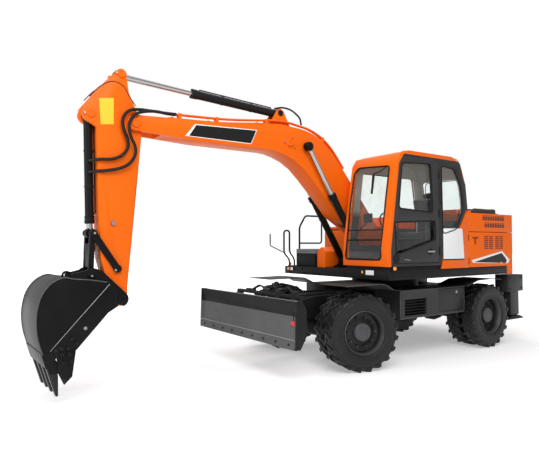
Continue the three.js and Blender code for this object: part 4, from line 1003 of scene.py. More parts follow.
def louvreBank(text, x0, x1, z0, z1, cols, rows, body, tall):
    # pressed slots: a thin dark sheet painted as the shade inside each opening, under an orange hood, one modelled and
    # copied
    w, h = (x1 - x0) / cols, (z1 - z0) / rows
    wide, high = w - w * 0.2, h - h * 0.28
    # painted shade: the slot is a flat dark sheet on the face, not an opening
    bpy.ops.mesh.primitive_cube_add(size=1, scale=(wide, 0.0016, high))
    slot = settle(newest("slot"))
    roundEdges(slot, 0.003, 1)
    bpy.ops.mesh.primitive_cube_add(size=1, scale=(wide + 0.004, 0.012, high * (0.2 if tall else 0.42)))
    lip = settle(newest("lip"))
    for vertex in lip.data.vertices:
        if vertex.co.y > 0 and vertex.co.z > 0:
            vertex.co.y = -0.0055
        vertex.co.z += high * 0.36
    roundEdges(lip, 0.0015, 1)
    spots = [at(x0 + w * (i + 0.5), bay["face"] + 0.0004, z0 + h * (k + 0.5)) for i in range(cols) for k in range(rows)]
    banks = []
    for source, kind in ((slot, "Slots"), (lip, "Lips")):
        banks.append(gather(text + kind, [copyOf(source, kind, Matrix.Translation(spot)) for spot in spots]))
        bpy.data.objects.remove(source)
    for bank, paintName in zip(banks, ("darkOrangeShadeAndSeam", "orangePaint")):
        twin = mirrorAcross(bank, bank.name + "Right")
        bank.name += "Left"
        finish(bank, body, paintName)
        finish(twin, body.replace("left", "right"), paintName)


louvreBank("louvreTop", -1.835, -1.19, 2.106, 2.222, 9, 1, "hood", True)
louvreBank("louvreMid", -1.835, -1.24, 1.988, 2.1, 8, 1, "hood", True)
louvreBank("louvreLowFront", -1.5, -1.215, 1.64, 1.87, 2, 7, "bay_door_left", False)
louvreBank("louvreLowRear", -1.8, -1.54, 1.64, 1.87, 2, 7, "bay_door_left", False)


def dressBay():
    for side, sign in sides:
        door = "bay_door_" + side.lower()
        for text, points, lift, paintName in (("stripeEdge", bay["stripe"], 0.0009, "whitePlate"),
                                              ("stripeDark", bay["stripeDark"], 0.0016, "decalBlack")):
            for part, x, front, body in (("Door", bay["split"] + 0.002, True, door),
                                         ("Tail", bay["split"] - 0.002, False, "house")):
                shape = plate(text + part + side, clipAt(points, x, front), "y", sign * bay["face"], sign * lift, 0)
                finish(shape, body, paintName)
        # painted shade: the dark T stands in for the shadow inside the latch handle's recess
        bar = slab("latchShadeBar", (-1.05, sign * 1.24, 1.82), (-0.895, sign * 1.251, 1.84), 0.003)
        stem = slab("latchShadeStem", (-0.985, sign * 1.24, 1.722), (-0.955, sign * 1.248, 1.822), 0.003)
        finish(gather("latch" + side, [bar, stem]), door, "darkOrangeShadeAndSeam")
        hinges = [barrelOf("hingeBarrel", (-0.797, sign * 1.236, z), 0.009, 0.05, 12) for z in (1.45, 1.83)]
        finish(gather("doorHinges" + side, hinges), "house", "darkPaint")
        hoop = onSide([(-2.02, 2.236), (-2.02, 2.262), (-1.75, 2.262), (-1.75, 2.236)], sign)
        finish(bentPipe("hoodRail" + side, hoop, 0.02, 0.008), "hood", "darkPaint")
        lamp = slab("rearLamp" + side, (-2.355, sign * 0.72, 1.42), (-2.27, sign * 0.86, 1.52), 0.012, 3)
        finish(lamp, "house", "redLens")
    cover = slab("airCover", (-2.1, -0.1, 2.238), (-1.2, 0.93, 2.36), 0.04, 5)
    bendX = at(-1.5, 0, 0).x
    for vertex in cover.data.vertices:  # the front of the top slopes down
        if vertex.co.z > 2.3 and vertex.co.x > bendX:
            vertex.co.z -= (vertex.co.x - bendX) * bay["coverSlope"]
    sinkFaces(cover, lambda f: f.normal.z > 0.98 and f.area > 0.1, 0.06, (0, 0, -0.012))
    finish(settle(cover), "hood", "frameGrey")
    slats = [slab("coverSlat", (-2.0, y, 2.344), (-1.56, y + 0.05, 2.357), 0.004) for y in bay["slats"]]
    finish(gather("coverSlats", slats), "hood", "darkPaint")
    stack = [(0.03, 0), (0.045, 0), (0.045, 0.05), (0.038, 0.056), (0.034, 0.056), (0.03, 0.03)]
    finish(lathe("exhaustStack", stack, (-1.45, -0.55, 2.236), (0, 0, 1), 28), "hood", "castIron")
    eyes = []
    for side, sign in sides:
        loop = onSide([(-2.2, 1.925), (-2.2, 1.99), (-2.12, 1.99), (-2.12, 1.925)], sign * 0.5)
        eyes.append(bentPipe("liftEye" + side, loop, 0.03, 0.012))
    badge = plate("rearBadge", [(-0.3, 1.55), (0.3, 1.55), (0.3, 1.72), (-0.3, 1.72)], "x", -2.4505, -0.002, 0.001)
    finish(badge, "house", "decalBlack")
    for eye in eyes:
        finish(eye, "house", "darkPaint")


dressBay()
print("stage: engine bay")

# the windshield's line is given by height and place forward
cab = {"face": 1.2385, "seal": 0.011,
       "slope": [(1.402, 1.1), (1.65, 1.1), (2.35, 1.0), (2.93, 0.9), (3.045, 0.82)]}


def frontOf(z):
    for (z0, x0), (z1, x1) in zip(cab["slope"], cab["slope"][1:]):
        if z <= z1:
            return x0 + (x1 - x0) * (z - z0) / (z1 - z0)
    return cab["slope"][-1][1]


def fitSeals():
    glassEdge = roundedRoute([(0, y, z) for y, z in ((0.37, 1.5), (1.1, 1.5), (1.11, 2.35), (1.11, 2.86), (0.47, 2.9),
                              (0.385, 2.82), (0.378, 2.35))], 0.055, True)
    front = [Vector((frontOf(p.z) + 0.001, p.y, p.z)) for p in glassEdge]
    finish(pipe("windshieldSeal", front, 0.013, 2, True), "house", "sealRubber")
    windows = {"quarterSeal": ([(-0.11, 2.94), (-0.43, 2.915), (-0.59, 2.66), (-0.65, 2.3), (-0.48, 1.96),
                                (-0.13, 1.88)], cab["face"], "house", 0.07),
               "doorUpperSeal": ([(0.868, 2.24), (0.79, 2.905), (0.15, 2.945), (0.1, 2.205)], cab["face"], "door",
                                 0.06),
               "doorLowerSeal": ([(0.93, 1.57), (0.95, 2.035), (0.06, 2.08), (0.045, 1.795)], cab["face"], "door",
                                 0.04),
               "rightSeal": ([(0.85, 1.7), (0.78, 2.25), (0.7, 2.85), (-0.5, 2.85), (-0.6, 2.25), (-0.6, 1.7)],
                             0.3135, "house", 0.06)}
    for text, (points, y, body, bend) in windows.items():
        seal = bentPipe(text, onSide(points, y), bend, cab["seal"], 2, True)
        finish(seal, body, "sealRubber")
    rear = [(-0.768, y, z) for y, z in ((0.4, 2.1), (1.14, 2.1), (1.14, 2.78), (0.4, 2.78))]
    finish(bentPipe("rearSeal", rear, 0.06, 0.007, 2, True), "house", "sealRubber")
    bars = [slab("screenBar", (frontOf(z) - 0.03, 0.372, z - half), (frontOf(z) - 0.008, 1.1, z + half), 0.003)
            for z, half in ((1.932, 0.009), (1.785, 0.011))]
    finish(gather("screenBars", bars), "house", "sealRubber")


def dressCab():
    armLine = [(frontOf(2.85) + 0.012, 1.06, 2.85), (frontOf(2.79) + 0.02, 0.95, 2.79),
               (frontOf(2.76) + 0.022, 0.81, 2.765), (frontOf(2.6) + 0.016, 0.81, 2.6)]
    arm = bentPipe("wiperArm", armLine, 0.03, 0.008)
    blade = slab("wiperBlade", (frontOf(2.6) - 0.032, 0.802, 2.47), (frontOf(2.6) + 0.004, 0.818, 2.75), 0.004)
    for vertex in blade.data.vertices:  # lean with the glass
        vertex.co.x += -(vertex.co.z - 2.6) * 0.172 + 0.014
    finish(gather("wiper", [arm, blade]), "house", "sealRubber")
    hatch = slab("roofHatch", (-0.35, 0.5, 3.095), (0.45, 1.05, 3.112), 0.007, 3)
    sinkFaces(hatch, lambda f: f.normal.z > 0.98 and f.area > 0.1, 0.05, (0, 0, -0.004))
    finish(settle(hatch), "house", "orangePaint")
    drip = onSide([(0.86, 2.99), (0.79, 3.055), (0.64, 3.082), (-0.37, 3.087), (-0.58, 3.0), (-0.7, 2.72)], 1.236)
    finish(softPipe("dripRail", drip, 5, 0.006), "house", "orangePaint")
    corner = slab("rearCorner", (-0.79, 1.19, 2.3), (-0.755, 1.235, 2.7), 0.01, 3)
    for vertex in corner.data.vertices:  # lean with the rear post
        vertex.co.x += (vertex.co.z - 2.3) * 0.125
    finish(corner, "house", "frameGrey")
    lever = slab("doorLever", (0.085, 1.24, 1.6), (0.245, 1.262, 1.625), 0.006, 3)
    bowl = lathe("doorBowl", [(0, 0.0), (0.05, 0.0), (0.05, 0.006), (0.038, 0.01), (0, 0.004)], (0.165, 1.239, 1.61),
                 (0, 1, 0), 28)
    finish(bowl, "door", "darkPaint")
    finish(lever, "door", "bareSteel")
    disc = lathe("lockDisc", [(0, 0.0), (0.062, 0.0), (0.062, 0.012), (0.05, 0.018), (0.03, 0.014), (0, 0.014)],
                 (0.93, 1.239, 1.515), (0, 1, 0), 32)
    finish(disc, "door", "darkPaint")
    catch = [(0.76, 1.242, 1.5), (0.72, 1.252, 1.5), (0.66, 1.252, 1.488), (0.64, 1.242, 1.488)]
    finish(bentPipe("doorCatch", catch, 0.015, 0.006), "door", "bareSteel")
    hinges = [barrelOf("cabHinge", (-0.045, 1.243, z), 0.013, 0.06, 16) for z in (1.62, 2.2, 2.78)]
    finish(gather("cabHinges", hinges), "house", "darkPaint")
    grab = [(-0.075, y, z) for y, z in ((1.24, 2.36), (1.266, 2.36), (1.266, 2.66), (1.24, 2.66))]
    finish(bentPipe("grabRail", grab, 0.02, 0.008), "house", "sealRubber")
    outline = roundedRoute([(-0.14, 0, 1.492), (-0.14, 0, 1.968), (-0.628, 0, 1.972), (-0.668, 0, 1.492)], 0.03, True)
    sign = plate("blankSign", [(p.x, p.z) for p in outline], "y", 1.2402, 0.0028, 0.0008)
    finish(sign, "house", "whitePlate")
    foot = plate("signFoot", [(-0.14, 1.474), (-0.14, 1.494), (-0.668, 1.494), (-0.668, 1.474)], "y", 1.2402, 0.003,
                 0.0005)
    finish(foot, "house", "decalBlack")


def cushion(text, size, place, tilt, channels):
    # a crowned pad: full sides, soft corners, sewn channels pressed into the top
    bpy.ops.mesh.primitive_cube_add(size=1, scale=size)
    o = settle(newest(text))
    editAll(o)
    bpy.ops.mesh.subdivide(number_cuts=9)
    leaveEdit()
    half = Vector(size) / 2
    for vertex in o.data.vertices:
        u, v, w = (vertex.co[i] / half[i] for i in range(3))
        if w > 0.5:
            vertex.co.z += 0.022 * ((1 - u * u) * (1 - v * v))
            for line in channels:
                vertex.co.z -= 0.012 * math.exp(-((v - line) / 0.07) ** 2) * (1 - abs(u) ** 4)
        swell = 0.012 * (1 - abs(w))
        vertex.co.x += swell * ((u > 0.98) - (u < -0.98)) * (1 - v * v)
        vertex.co.y += swell * ((v > 0.98) - (v < -0.98)) * (1 - u * u)
    roundEdges(o, 0.018, 3, 50)
    useModifier(o, "SUBSURF", levels=1, render_levels=1)
    o.data.transform(Matrix.Translation(at(*place)) @ Matrix.Rotation(math.radians(tilt), 4, "Y"))
    settle(o, 60)
    return o


steering = {"centre": (0.57, 0.77, 2.05), "hoop": 0.17, "spoke": 0.165, "lean": (0.42, 0.9), "sections": 36}


def onHoop(radius, angle):
    # a place on the tilted steering wheel
    x, y, z = steering["centre"]
    leanX, leanZ = steering["lean"]
    across, along = radius * math.sin(angle), radius * math.cos(angle)
    return Vector((x + along * leanX, y + across, z + along * leanZ))


def fitSeat():
    base = cushion("seatCushion", (0.4, 0.45, 0.09), (-0.07, 0.775, 1.85), -3, (-0.45, 0.45))
    finish(base, "house", "seatCloth", ["seat"])
    back = cushion("seatBack", (0.56, 0.43, 0.08), (-0.345, 0.775, 2.18), 104, (-0.45, 0.45))
    finish(back, "house", "seatCloth")
    rest = cushion("headRest", (0.14, 0.26, 0.07), (-0.435, 0.775, 2.49), 104, ())
    finish(rest, "house", "seatCloth")
    pan = [(0.12, 1.785), (0.13, 1.812), (-0.27, 1.808), (-0.33, 1.9), (-0.455, 2.42), (-0.475, 2.41), (-0.37, 1.8)]
    finish(plate("seatPan", pan, "y", 0.56, 0.43, 0.006), "house", "cabPlastic")
    count = steering["sections"]
    hoop = [onHoop(steering["hoop"], 2 * math.pi * i / count) for i in range(count)]
    parts = [pipe("hoop", hoop, 0.012, 2, True)]
    parts += [rod("spoke", (0.57, 0.77, 2.045), onHoop(steering["spoke"], angle), 0.01, 1) for angle in (0, 2.1, 4.2)]
    finish(gather("steeringWheel", parts), "house", "cabPlastic")
    for y, text in ((0.46, "leverRight"), (1.085, "leverLeft")):
        stick = bentPipe("stick", [(0.08, y, 1.98), (0.1, y, 2.06), (0.09, y, 2.12)], 0.02, 0.009)
        grip = lathe("grip", [(0, 0), (0.018, 0.005), (0.022, 0.05), (0.026, 0.09), (0.02, 0.115), (0, 0.12)],
                     (0.09, y, 2.1), (-0.1, 0, 1), 20)
        finish(gather(text, [stick, grip]), "house", "cabPlastic")
    screen = slab("monitor", (0.72, 0.4, 2.06), (0.75, 0.58, 2.2), 0.008, 3)
    sinkFaces(screen, lambda f: f.normal.x < -0.98 and f.area > 0.01, 0.012, (0.004, 0, 0))
    finish(screen, "house", "cabPlastic")
    finish(rod("monitorPost", (0.74, 0.47, 2.07), (0.86, 0.38, 1.9), 0.012), "house", "cabPlastic")


fitSeals()
dressCab()
fitSeat()
print("stage: cab")

rail = {"y": -1.18, "deck": 1.3383, "main": 0.016, "drop": 0.014, "loop": 0.015}
mirror = {"x": 1.44, "low": 1.72, "high": 1.9, "wide": 0.11, "border": 0.01, "turn": 55.6}


def fitRails():
    y, deck = rail["y"], rail["deck"]
    main = [(0.8, deck), (0.8, 2.03), (0.665, 2.24), (-0.6, 2.24), (-0.6, 2.052)]
    drop = [(0.28, 2.24), (0.28, 1.742), (0.8, 1.742)]
    loop = [(0.915, deck), (0.915, 1.46), (1.025, 1.585), (1.025, 1.965), (1.145, 1.965), (1.145, 1.57), (1.025, 1.45),
            (1.025, deck)]
    parts = [bentPipe(text, onSide(points, y), bend, rail[text])
             for text, points, bend in (("main", main, 0.05), ("drop", drop, 0.06), ("loop", loop, 0.055))]
    parts.append(slab("railFoot", (0.33, y - 0.015, deck), (1.05, y + 0.015, deck + 0.012), 0.003))
    finish(gather("railsSmooth", parts), "house", "darkPaint", ["handrails"])


def fitMirror():
    # a slim mirror on a bent stalk, turned in towards the cab
    x, y, low, high, half = mirror["x"], rail["y"], mirror["low"], mirror["high"], mirror["wide"] / 2
    edge = mirror["border"]
    stalk = bentPipe("mirrorStalk", [(1.145, y, 1.575), (x, y, low - 0.02), (x, y, low + 0.02)], 0.02, 0.008)
    bowl = slab("mirrorBowl", (x - half, y - edge, low), (x + half, y + edge, high), 0.008, 3)
    corners = [(x - half + edge, 0, low + edge), (x + half - edge, 0, low + edge), (x + half - edge, 0, high - edge),
               (x - half + edge, 0, high - edge)]
    outline = [(p.x, p.z) for p in roundedRoute(corners, 0.015, True)]
    face = plate("mirrorGlass", outline, "y", y - 0.0098, -0.0015, 0.0005)
    swing = Matrix.Translation(at(x, y, 0)) @ Matrix.Rotation(math.radians(mirror["turn"]), 4, "Z")
    for o in (bowl, face):
        o.data.transform(swing @ Matrix.Translation(-at(x, y, 0)))
    finish(gather("mirrorBody", [stalk, bowl]), "house", "sealRubber")
    finish(face, "house", "mirrorFace")


def slabs(text, corners, *easing):
    # several small blocks, each from its low corner to its high corner
    return [slab(text, low, high, *easing) for low, high in corners]


def dressDeck():
    boxes = slabs("lampBox", [((1.07, 0.775, 1.262), (1.088, 0.962, 1.352)),
                              ((1.07, -1.17, 1.262), (1.088, -0.985, 1.33))], 0.006, 3)
    lenses = slabs("lampLens", [((1.086, 0.787, 1.273), (1.0935, 0.95, 1.342)),
                                ((1.086, -1.06, 1.27), (1.0935, -0.995, 1.322))], 0.006, 3)
    finish(gather("deckLampBoxes", boxes), "house", "darkPaint")
    finish(gather("deckLampLenses", lenses), "house", "lampLens")
    ambers = [slab("amber", (1.076, 0.69, 1.29), (1.086, 0.725, 1.33), 0.004),
              slab("amber", (1.086, -1.155, 1.272), (1.094, -1.095, 1.32), 0.006, 3),
              slab("amber", (0.935, 1.232, 1.35), (0.995, 1.252, 1.402), 0.012, 3),
              slab("amber", (-1.74, 1.2405, 1.382), (-1.7, 1.2445, 1.418), 0.002),
              slab("amber", (0.935, -1.252, 1.35), (0.995, -1.232, 1.402), 0.012, 3)]
    finish(gather("amberMarkers", ambers), "house", "amberLens")
    strips = [slab("tread", (x, -1.0 + i * 0.15, 1.3385), (x + 0.12, -0.9 + i * 0.15, 1.3435), 0.002, 1)
              for x in (0.22, 0.38) for i in range(5)]
    finish(gather("deckTreads", strips), "house", "frameGrey")
    lip = slab("deckLip", (-1.89, 1.2395, 1.222), (1.07, 1.2435, 1.238), 0.0015, 1)
    finish(lip, "house", "darkPaint")
    cap = lathe("fillerCap", [(0, 0), (0.055, 0), (0.055, 0.03), (0.045, 0.04), (0, 0.04)], (-0.15, -0.9, 2.05),
                (0, 0, 1), 28)
    finish(cap, "house", "sealRubber")
    bolts = [(1.079, y, z) for y in (-1.1, -0.75, -0.4, 0.3, 0.6) for z in (1.24, 1.31)]
    finish(boltHeads("deckBolts", bolts, (1, 0, 0)), "house", "darkPaint")


fitRails()
fitMirror()
dressDeck()
print("stage: deck and rails")

boomTop = [(0.93, 2.93), (1.16, 3.195), (1.37, 3.36), (1.6, 3.458), (1.83, 3.497), (2.197, 3.518), (3.03, 3.42),
           (3.8, 3.373)]

# each cap is its place forward, height and distance from the middle, then radius, body, paint and thickness
pinCaps = {
    "ramHead": (1.73, 3.18, 0.29, 0.055, "boom_body"),
    "boomFootCap": (0.03, 1.665, 0.19, 0.07, "house"),
    "boomBoss": (2.02, 3.215, 0.17, 0.06, "boom_body", "orangePaint", 0.03),
    "tipCap": (4.325, 3.19, 0.17, 0.06, "boom_body", "orangePaint"),
    "armRamCap": (4.49, 3.768, 0.115, 0.05, "arm_body", "orangePaint"),
    "armRamFoot": (2.131, 3.655, 0.088, 0.045, "boom_body", "darkPaint"),
    "rockerCap": (4.515, 1.435, 0.141, 0.046, "rocker_body"),
    "linkCap": (4.8, 1.852, 0.141, 0.04, "rocker_body"),
    "bucketCap": (4.47, 1.076, 0.153, 0.05, "bucket_body"),
    "earCap": (4.812, 1.37, 0.153, 0.042, "bucket_body"),
}
ramCaps = {
    "armBoss": (4.568, 1.971, 0.115, 0.03, "arm_body", "bareSteel", 0.03),
    "ramSocket": (4.845, 3.235, 0.115, 0.05, "arm_body", "orangePaint"),
    "ramFoot": (0.6, 1.45, 0.295, 0.05, "house", "darkPaint"),
}
pinBolts = {"rockerPin": (4.545, 1.42, 0.155, "rocker_body"), "linkPin": (4.79, 1.85, 0.155, "rocker_body"),
            "earPin": (4.815, 1.365, 0.167, "bucket_body")}


def pinCap(text, x, z, y, radius, body, paintName="blackPaint", thick=0.016):
    sign = 1 if y > 0 else -1
    profile = [(0, 0), (radius, 0), (radius, thick * 0.6), (radius * 0.85, thick), (radius * 0.45, thick),
               (radius * 0.38, thick * 0.7), (0, thick * 0.7)]
    cap = lathe(text, profile, (x, y, z), (0, sign, 0), 32)
    if paintName == "orangePaint" and radius < 0.07:  # keeper plate and its bolt
        keeper = slab("keeper", (x, y, z - 0.022), (x + radius * 1.75, y + sign * 0.012, z + 0.022), 0.005)
        bolt = boltHeads(text + "Bolt", [(x + radius * 1.45, y + sign * 0.012, z)], (0, sign, 0), 0.016, 0.01)
        finish(bolt, body, "bareSteel")
        cap = gather(text, [cap, keeper])
    return finish(cap, body, paintName)


def placeCaps(caps, side, sign):
    for text, (x, z, y, *rest) in caps.items():
        pinCap(text + side, x, z, sign * y, *rest)


def sidePanel(text, points, y, lift, body, paintName, bevel=0):
    # a flat plate on a side face; y and lift carry the side's sign
    return finish(plate(text, points, "y", y, lift, bevel), body, paintName)


def dressBoom():
    lines = [softPipe("boomLine", onSide(boomTop, y), 5, 0.013, 2) for y in (0.105, 0.14, -0.105, -0.14)]
    finish(gather("boomLines", lines), "boom_body", "orangePaint")
    clamps = [slab("lineClamp", (x - 0.02, sign * 0.088, z - 0.055), (x + 0.02, sign * 0.157, z + 0.02), 0.004)
              for x, z in ((3.75, 3.375), (3.213, 3.402), (2.42, 3.492), (1.37, 3.36)) for _, sign in sides]
    finish(gather("lineClamps", clamps), "boom_body", "orangePaint")
    for side, sign in sides:
        sidePanel("boomPanelEdge" + side, [(3.685, 3.108), (3.55, 3.279), (2.592, 3.327), (2.69, 3.116)],
                  sign * 0.1702, sign * 0.0012, "boom_body", "whitePlate")
        sidePanel("boomPanel" + side, [(3.632, 3.116), (3.53, 3.268), (2.607, 3.316), (2.695, 3.126)],
                  sign * 0.1702, sign * 0.002, "boom_body", "decalBlack")
        placeCaps(pinCaps, side, sign)
        for text, (x, z, y, body) in pinBolts.items():
            pin = boltHeads(text + side, [(x, sign * y, z)], (0, sign, 0), 0.014, 0.01)
            finish(pin, body, "bareSteel")
        placeCaps(ramCaps, side, sign)
        dots = [(1.86 + 0.12 * math.cos(a), sign * 0.17, 3.24 + 0.12 * math.sin(a)) for a in (-1.0, -0.55, -0.1, 0.35)]
        finish(boltHeads("boomDots" + side, dots, (0, sign, 0), 0.009, 0.006), "boom_body", "darkOrangeShadeAndSeam")
        sidePanel("armPanel" + side, [(4.75, 3.428), (4.582, 3.457), (4.578, 3.143), (4.728, 3.122)],
                  sign * 0.1152, sign * 0.0014, "arm_body", "yellowPlate")
        seam = onSide([(4.86, 3.43), (4.74, 3.57), (4.6, 3.655), (4.47, 3.62), (4.39, 3.5), (4.31, 3.4)], sign * 0.1155)
        finish(softPipe("armWeld" + side, seam, 6, 0.006, 2), "arm_body", "darkOrangeShadeAndSeam")
    # short line from the arm cylinder to the boom lines
    link = [(2.2, 0.03, 3.72), (2.08, 0.07, 3.745), (1.94, 0.1, 3.72), (1.8, 0.11, 3.63), (1.76, 0.11, 3.52)]
    finish(softPipe("ramHose", link, 6, 0.014, 2), "boom_body", "hoseRubber")


armHoses = {
    "diameter": 0.038,
    "armHoseOuter": [(3.8, 0.14, 3.373), (3.95, 0.146, 3.366), (4.12, 0.156, 3.362), (4.3, 0.168, 3.352),
                     (4.42, 0.176, 3.315), (4.49, 0.178, 3.215), (4.478, 0.175, 3.09), (4.43, 0.17, 2.98),
                     (4.425, 0.165, 2.87), (4.49, 0.16, 2.775), (4.6, 0.152, 2.722), (4.71, 0.146, 2.71),
                     (4.79, 0.118, 2.7), (4.838, 0.068, 2.69)],
    "armHoseInner": [(3.8, 0.105, 3.373), (3.92, 0.112, 3.37), (4.08, 0.15, 3.366), (4.27, 0.19, 3.32),
                     (4.38, 0.208, 3.25), (4.425, 0.21, 3.13), (4.4, 0.208, 3.0), (4.345, 0.2, 2.89),
                     (4.345, 0.19, 2.78), (4.42, 0.175, 2.67), (4.54, 0.16, 2.61), (4.68, 0.15, 2.578),
                     (4.78, 0.122, 2.565), (4.838, 0.068, 2.555)],
}


def armHose(text):
    points, diameter = armHoses[text], armHoses["diameter"]
    route = smoothRoute(points, 5)
    o = pipe(text, route, diameter / 2)
    o.data.materials.clear()
    o.data.materials.append(paints["hoseRubber"])
    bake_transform(o)


dressBoom()
armHose("armHoseOuter")
armHose("armHoseInner")
print("stage: boom and arm")

cheek = {"face": 0.4,
         "edge": [(4.72, 1.3), (4.9, 1.333), (5.06, 1.348), (5.17, 1.368), (5.27, 1.327), (5.35, 1.247),
                  (5.405, 1.132), (5.43, 0.98), (5.428, 0.86), (5.408, 0.727), (5.363, 0.575)],
         "doubler": [(4.681, 1.285), (5.3, 0.603), (5.235, 0.592), (5.03, 0.597), (4.705, 0.962), (4.6, 1.035),
                     (4.63, 1.175)],
         "rub": [(4.69, 1.278), (5.0, 0.936), (5.292, 0.61)]}
# bolts on each cheek: places forward and up, distance out, radius, height and paint
cheekBolts = {"cutterBolts": ([(5.11, 0.56), (5.18, 0.56), (5.09, 0.48), (5.17, 0.47)], 0.412, 0.02, 0.018,
                              "darkPaint"),
              "lipBolts": ([(5.035, 0.668), (5.087, 0.72), (5.12, 0.62), (5.19, 0.63), (5.245, 0.61)], 0.409, 0.022,
                           0.016, "darkPaint"),
              "cheekPlug": ([(4.946, 0.816)], 0.407, 0.02, 0.012, "bareSteel")}


def dressBucket():
    for side, sign in sides:
        # a weld bead along each cheek's back edge; its light grey is partly painted highlight along that edge
        bead = softPipe("bucketBead" + side, onSide(cheek["edge"], sign * cheek["face"]), 3, 0.007, 2)
        finish(bead, "bucket_body", "rimPaint")
        sidePanel("bucketCheek" + side, cheek["doubler"], sign * cheek["face"], sign * 0.007, "bucket_body",
                  "blackPaint", 0.0025)
        for text, (places, out, radius, height, paintName) in cheekBolts.items():
            bolts = boltHeads(text + side, onSide(places, sign * out), (0, sign, 0), radius, height)
            finish(bolts, "bucket_body", paintName)
        rub = pipe("bucketRub" + side, [Vector(p) for p in onSide(cheek["rub"], sign * 0.4072)], 0.004, 2)
        finish(rub, "bucket_body", "bareSteel")
    boots = gather("toothBoots", [slab("toothBoot", (5.2, y - 0.046, 0.36), (5.318, y + 0.046, 0.52), 0.012, 2)
                                  for y in (-0.34, -0.113, 0.113, 0.34)])
    for vertex in boots.data.vertices:  # lean with the lip
        vertex.co.x += (vertex.co.z - 0.44) * 0.42
    finish(boots, "bucket_body", "blackPaint")
    hook = softPipe("liftLoop", [(5.0, 0, 1.345), (5.02, 0, 1.4), (5.075, 0, 1.405), (5.1, 0, 1.352)], 5, 0.012, 2)
    finish(hook, "bucket_body", "blackPaint")


def dressBlade():
    bar = slab("bladeBar", (2.58, -0.28, 1.04), (2.64, 1.17, 1.082), 0.01, 3)
    feet = [slab("barFoot", (2.6, y, 0.98), (2.7, y + 0.05, 1.05), 0.006) for y in (-0.2, 0.3, 0.75, 1.1)]
    finish(gather("bladeTopBar", [bar] + feet), "dozer_blade", "darkPaint")
    # painted highlight: a thin bright steel strip lights the blade's top edge
    lip = slab("bladeTopHighlightStrip", (2.69, -1.24, 1.0285), (2.722, 1.24, 1.034), 0.002, 1)
    finish(lip, "dozer_blade", "bareSteel")
    edge = plate("cuttingEdge", [(2.736, 0.437), (2.74, 0.437), (2.707, 0.545), (2.703, 0.545)], "y", -1.235, 2.45,
                 0.001, 1)
    finish(edge, "dozer_blade", "bladeGrey")
    spots = [(2.726, y, 0.49) for y in (-1.1, -0.82, -0.54, -0.27, 0.0, 0.27, 0.54, 0.82, 1.1)]
    finish(boltHeads("edgeBolts", spots, (0.96, 0, 0.28), 0.016, 0.008), "dozer_blade", "darkPaint")
    valves = slabs("valveBlock", [((2.5, 0.33, 1.05), (2.6, 0.47, 1.12)), ((2.52, 0.62, 1.06), (2.6, 0.74, 1.14)),
                                  ((2.53, 0.98, 1.06), (2.6, 1.06, 1.13))], 0.008)
    valves.append(slab("valveBlock", (2.55, -0.1, 1.06), (2.6, 0.1, 1.1), 0.006))
    for y0, y1 in ((0.05, 0.36), (0.42, 0.66), (0.7, 1.0)):
        for x, top in ((2.57, 1.155), (2.57 - 0.025, 1.145)):
            line = [(x, y0, 1.1), (x - 0.005, (y0 + y1) / 2, top), (x, y1, 1.1)]
            valves.append(softPipe("valveLine", line, 6, 0.011, 2))
    valves.append(rod("valvePost", (2.56, 0.6, 1.08), (2.56, 0.6, 1.2), 0.02))
    knob = [(0, 0), (0.03, 0.004), (0.034, 0.02), (0.026, 0.036), (0, 0.04)]
    valves.append(lathe("valveKnob", knob, (2.56, 0.6, 1.19), (0, 0, 1), 24))
    finish(gather("bladeValves", valves), "dozer_blade", "hoseRubber")
    strap = slab("tagStrap", (2.688, 1.142, 0.77), (2.692, 1.152, 0.985), 0.001, 1)
    finish(strap, "dozer_blade", "sealRubber")
    tag = [(1.105, 0.722), (1.185, 0.722), (1.195, 0.762), (1.145, 0.786), (1.095, 0.762)]
    finish(plate("redTag", tag, "x", 2.688, 0.005, 0.001), "dozer_blade", "tagRed")


guards = {"guardEdge": [(0.93, 1.07), (1.13, 1.158), (1.45, 1.162), (1.85, 1.161)],
          "guardEdgeRear": [(-0.93, 1.068), (-1.12, 1.124), (-1.56, 1.134), (-1.8, 1.112)]}
slewRing = {"x": -0.15, "boltCircle": 0.572, "under": 1.208, "bolts": 30}


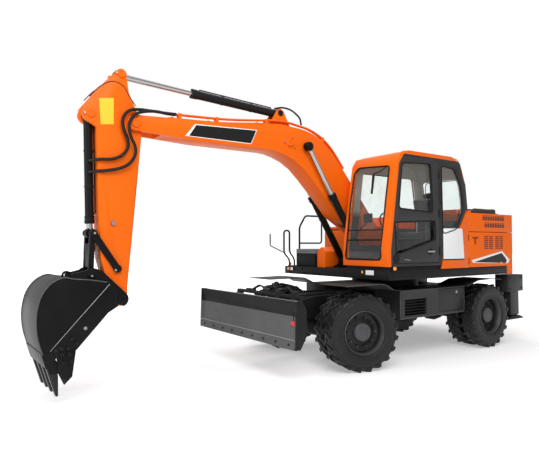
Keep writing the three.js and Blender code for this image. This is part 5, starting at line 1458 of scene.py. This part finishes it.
def dressChassis():
    for side, sign in sides:
        slats = [slab("stepSlat", (0.102, sign * 1.03, 0.688 + i * 0.043), (0.598, sign * 1.088, 0.700 + i * 0.043),
                      0.003, 1) for i in range(5)]
        finish(gather("stepSlats" + side, slats), "undercarriage", "darkPaint")
        edge = onSide([(-0.848, 1.036), (0.698, 1.036), (0.698, 0.624), (-0.848, 0.624)], sign * 1.1)
        finish(bentPipe("boxEdge" + side, edge, 0.02, 0.006, 2, True), "undercarriage", "rimPaint")
        sidePanel("capFace" + side, [(-2.46, 0.9), (-2.01, 0.9), (-2.01, 1.165), (-2.46, 1.165)], sign * 1.2,
                  sign * 0.006, "undercarriage", "frameGrey", 0.004)
        spots = [(x, sign * 1.206, z) for x in (-2.42, -2.05) for z in (0.94, 1.13)]
        bolts = boltHeads("capBolts" + side, spots, (0, sign, 0), 0.014, 0.01)
        finish(bolts, "undercarriage", "darkPaint")
        for text, points in guards.items():
            guard = softPipe(text + side, onSide(points, sign * 1.19), 5, 0.006, 2)
            finish(guard, "undercarriage", "rimPaint")
        lines = [softPipe("hullLine", [(1.9, sign * y, 0.975), (1.2, sign * y, 0.982), (0.6, sign * (y + 0.03), 0.978),
                                       (0.45, sign * (y + 0.08), 0.965)], 6, 0.012, 2) for y in (0.2, 0.235)]
        finish(gather("hullLines" + side, lines), "undercarriage", "hoseRubber")
    x, circle, z, count = slewRing["x"], slewRing["boltCircle"], slewRing["under"], slewRing["bolts"]
    ring = [(x + circle * math.cos(a), circle * math.sin(a), z)
            for a in (math.pi * 2 * i / count for i in range(count))]
    finish(boltHeads("slewBolts", ring, (0, 0, -1), 0.012, 0.01), "undercarriage", "darkPaint")
    latch = lathe("boxLatch", [(0, 0), (0.024, 0), (0.024, 0.008), (0.012, 0.011), (0, 0.009)], (-0.642, 1.1, 0.955),
                  (0, 1, 0), 24)
    finish(latch, "side_box_lid", "bareSteel")
    finish(rod("tieRod", (1.17, -0.47, 0.5), (1.17, 0.47, 0.5), 0.022), "undercarriage", "darkPaint")


dressBucket()
dressBlade()
dressChassis()
print("stage: bucket, blade and chassis")


nodes["engine_block"].data.materials.clear()
nodes["engine_block"].data.materials.append(paints["castIron"])
for text, node in nodes.items():
    if not node.hide_render and not node.data.materials:
        node.data.materials.append(paints["darkPaint"])
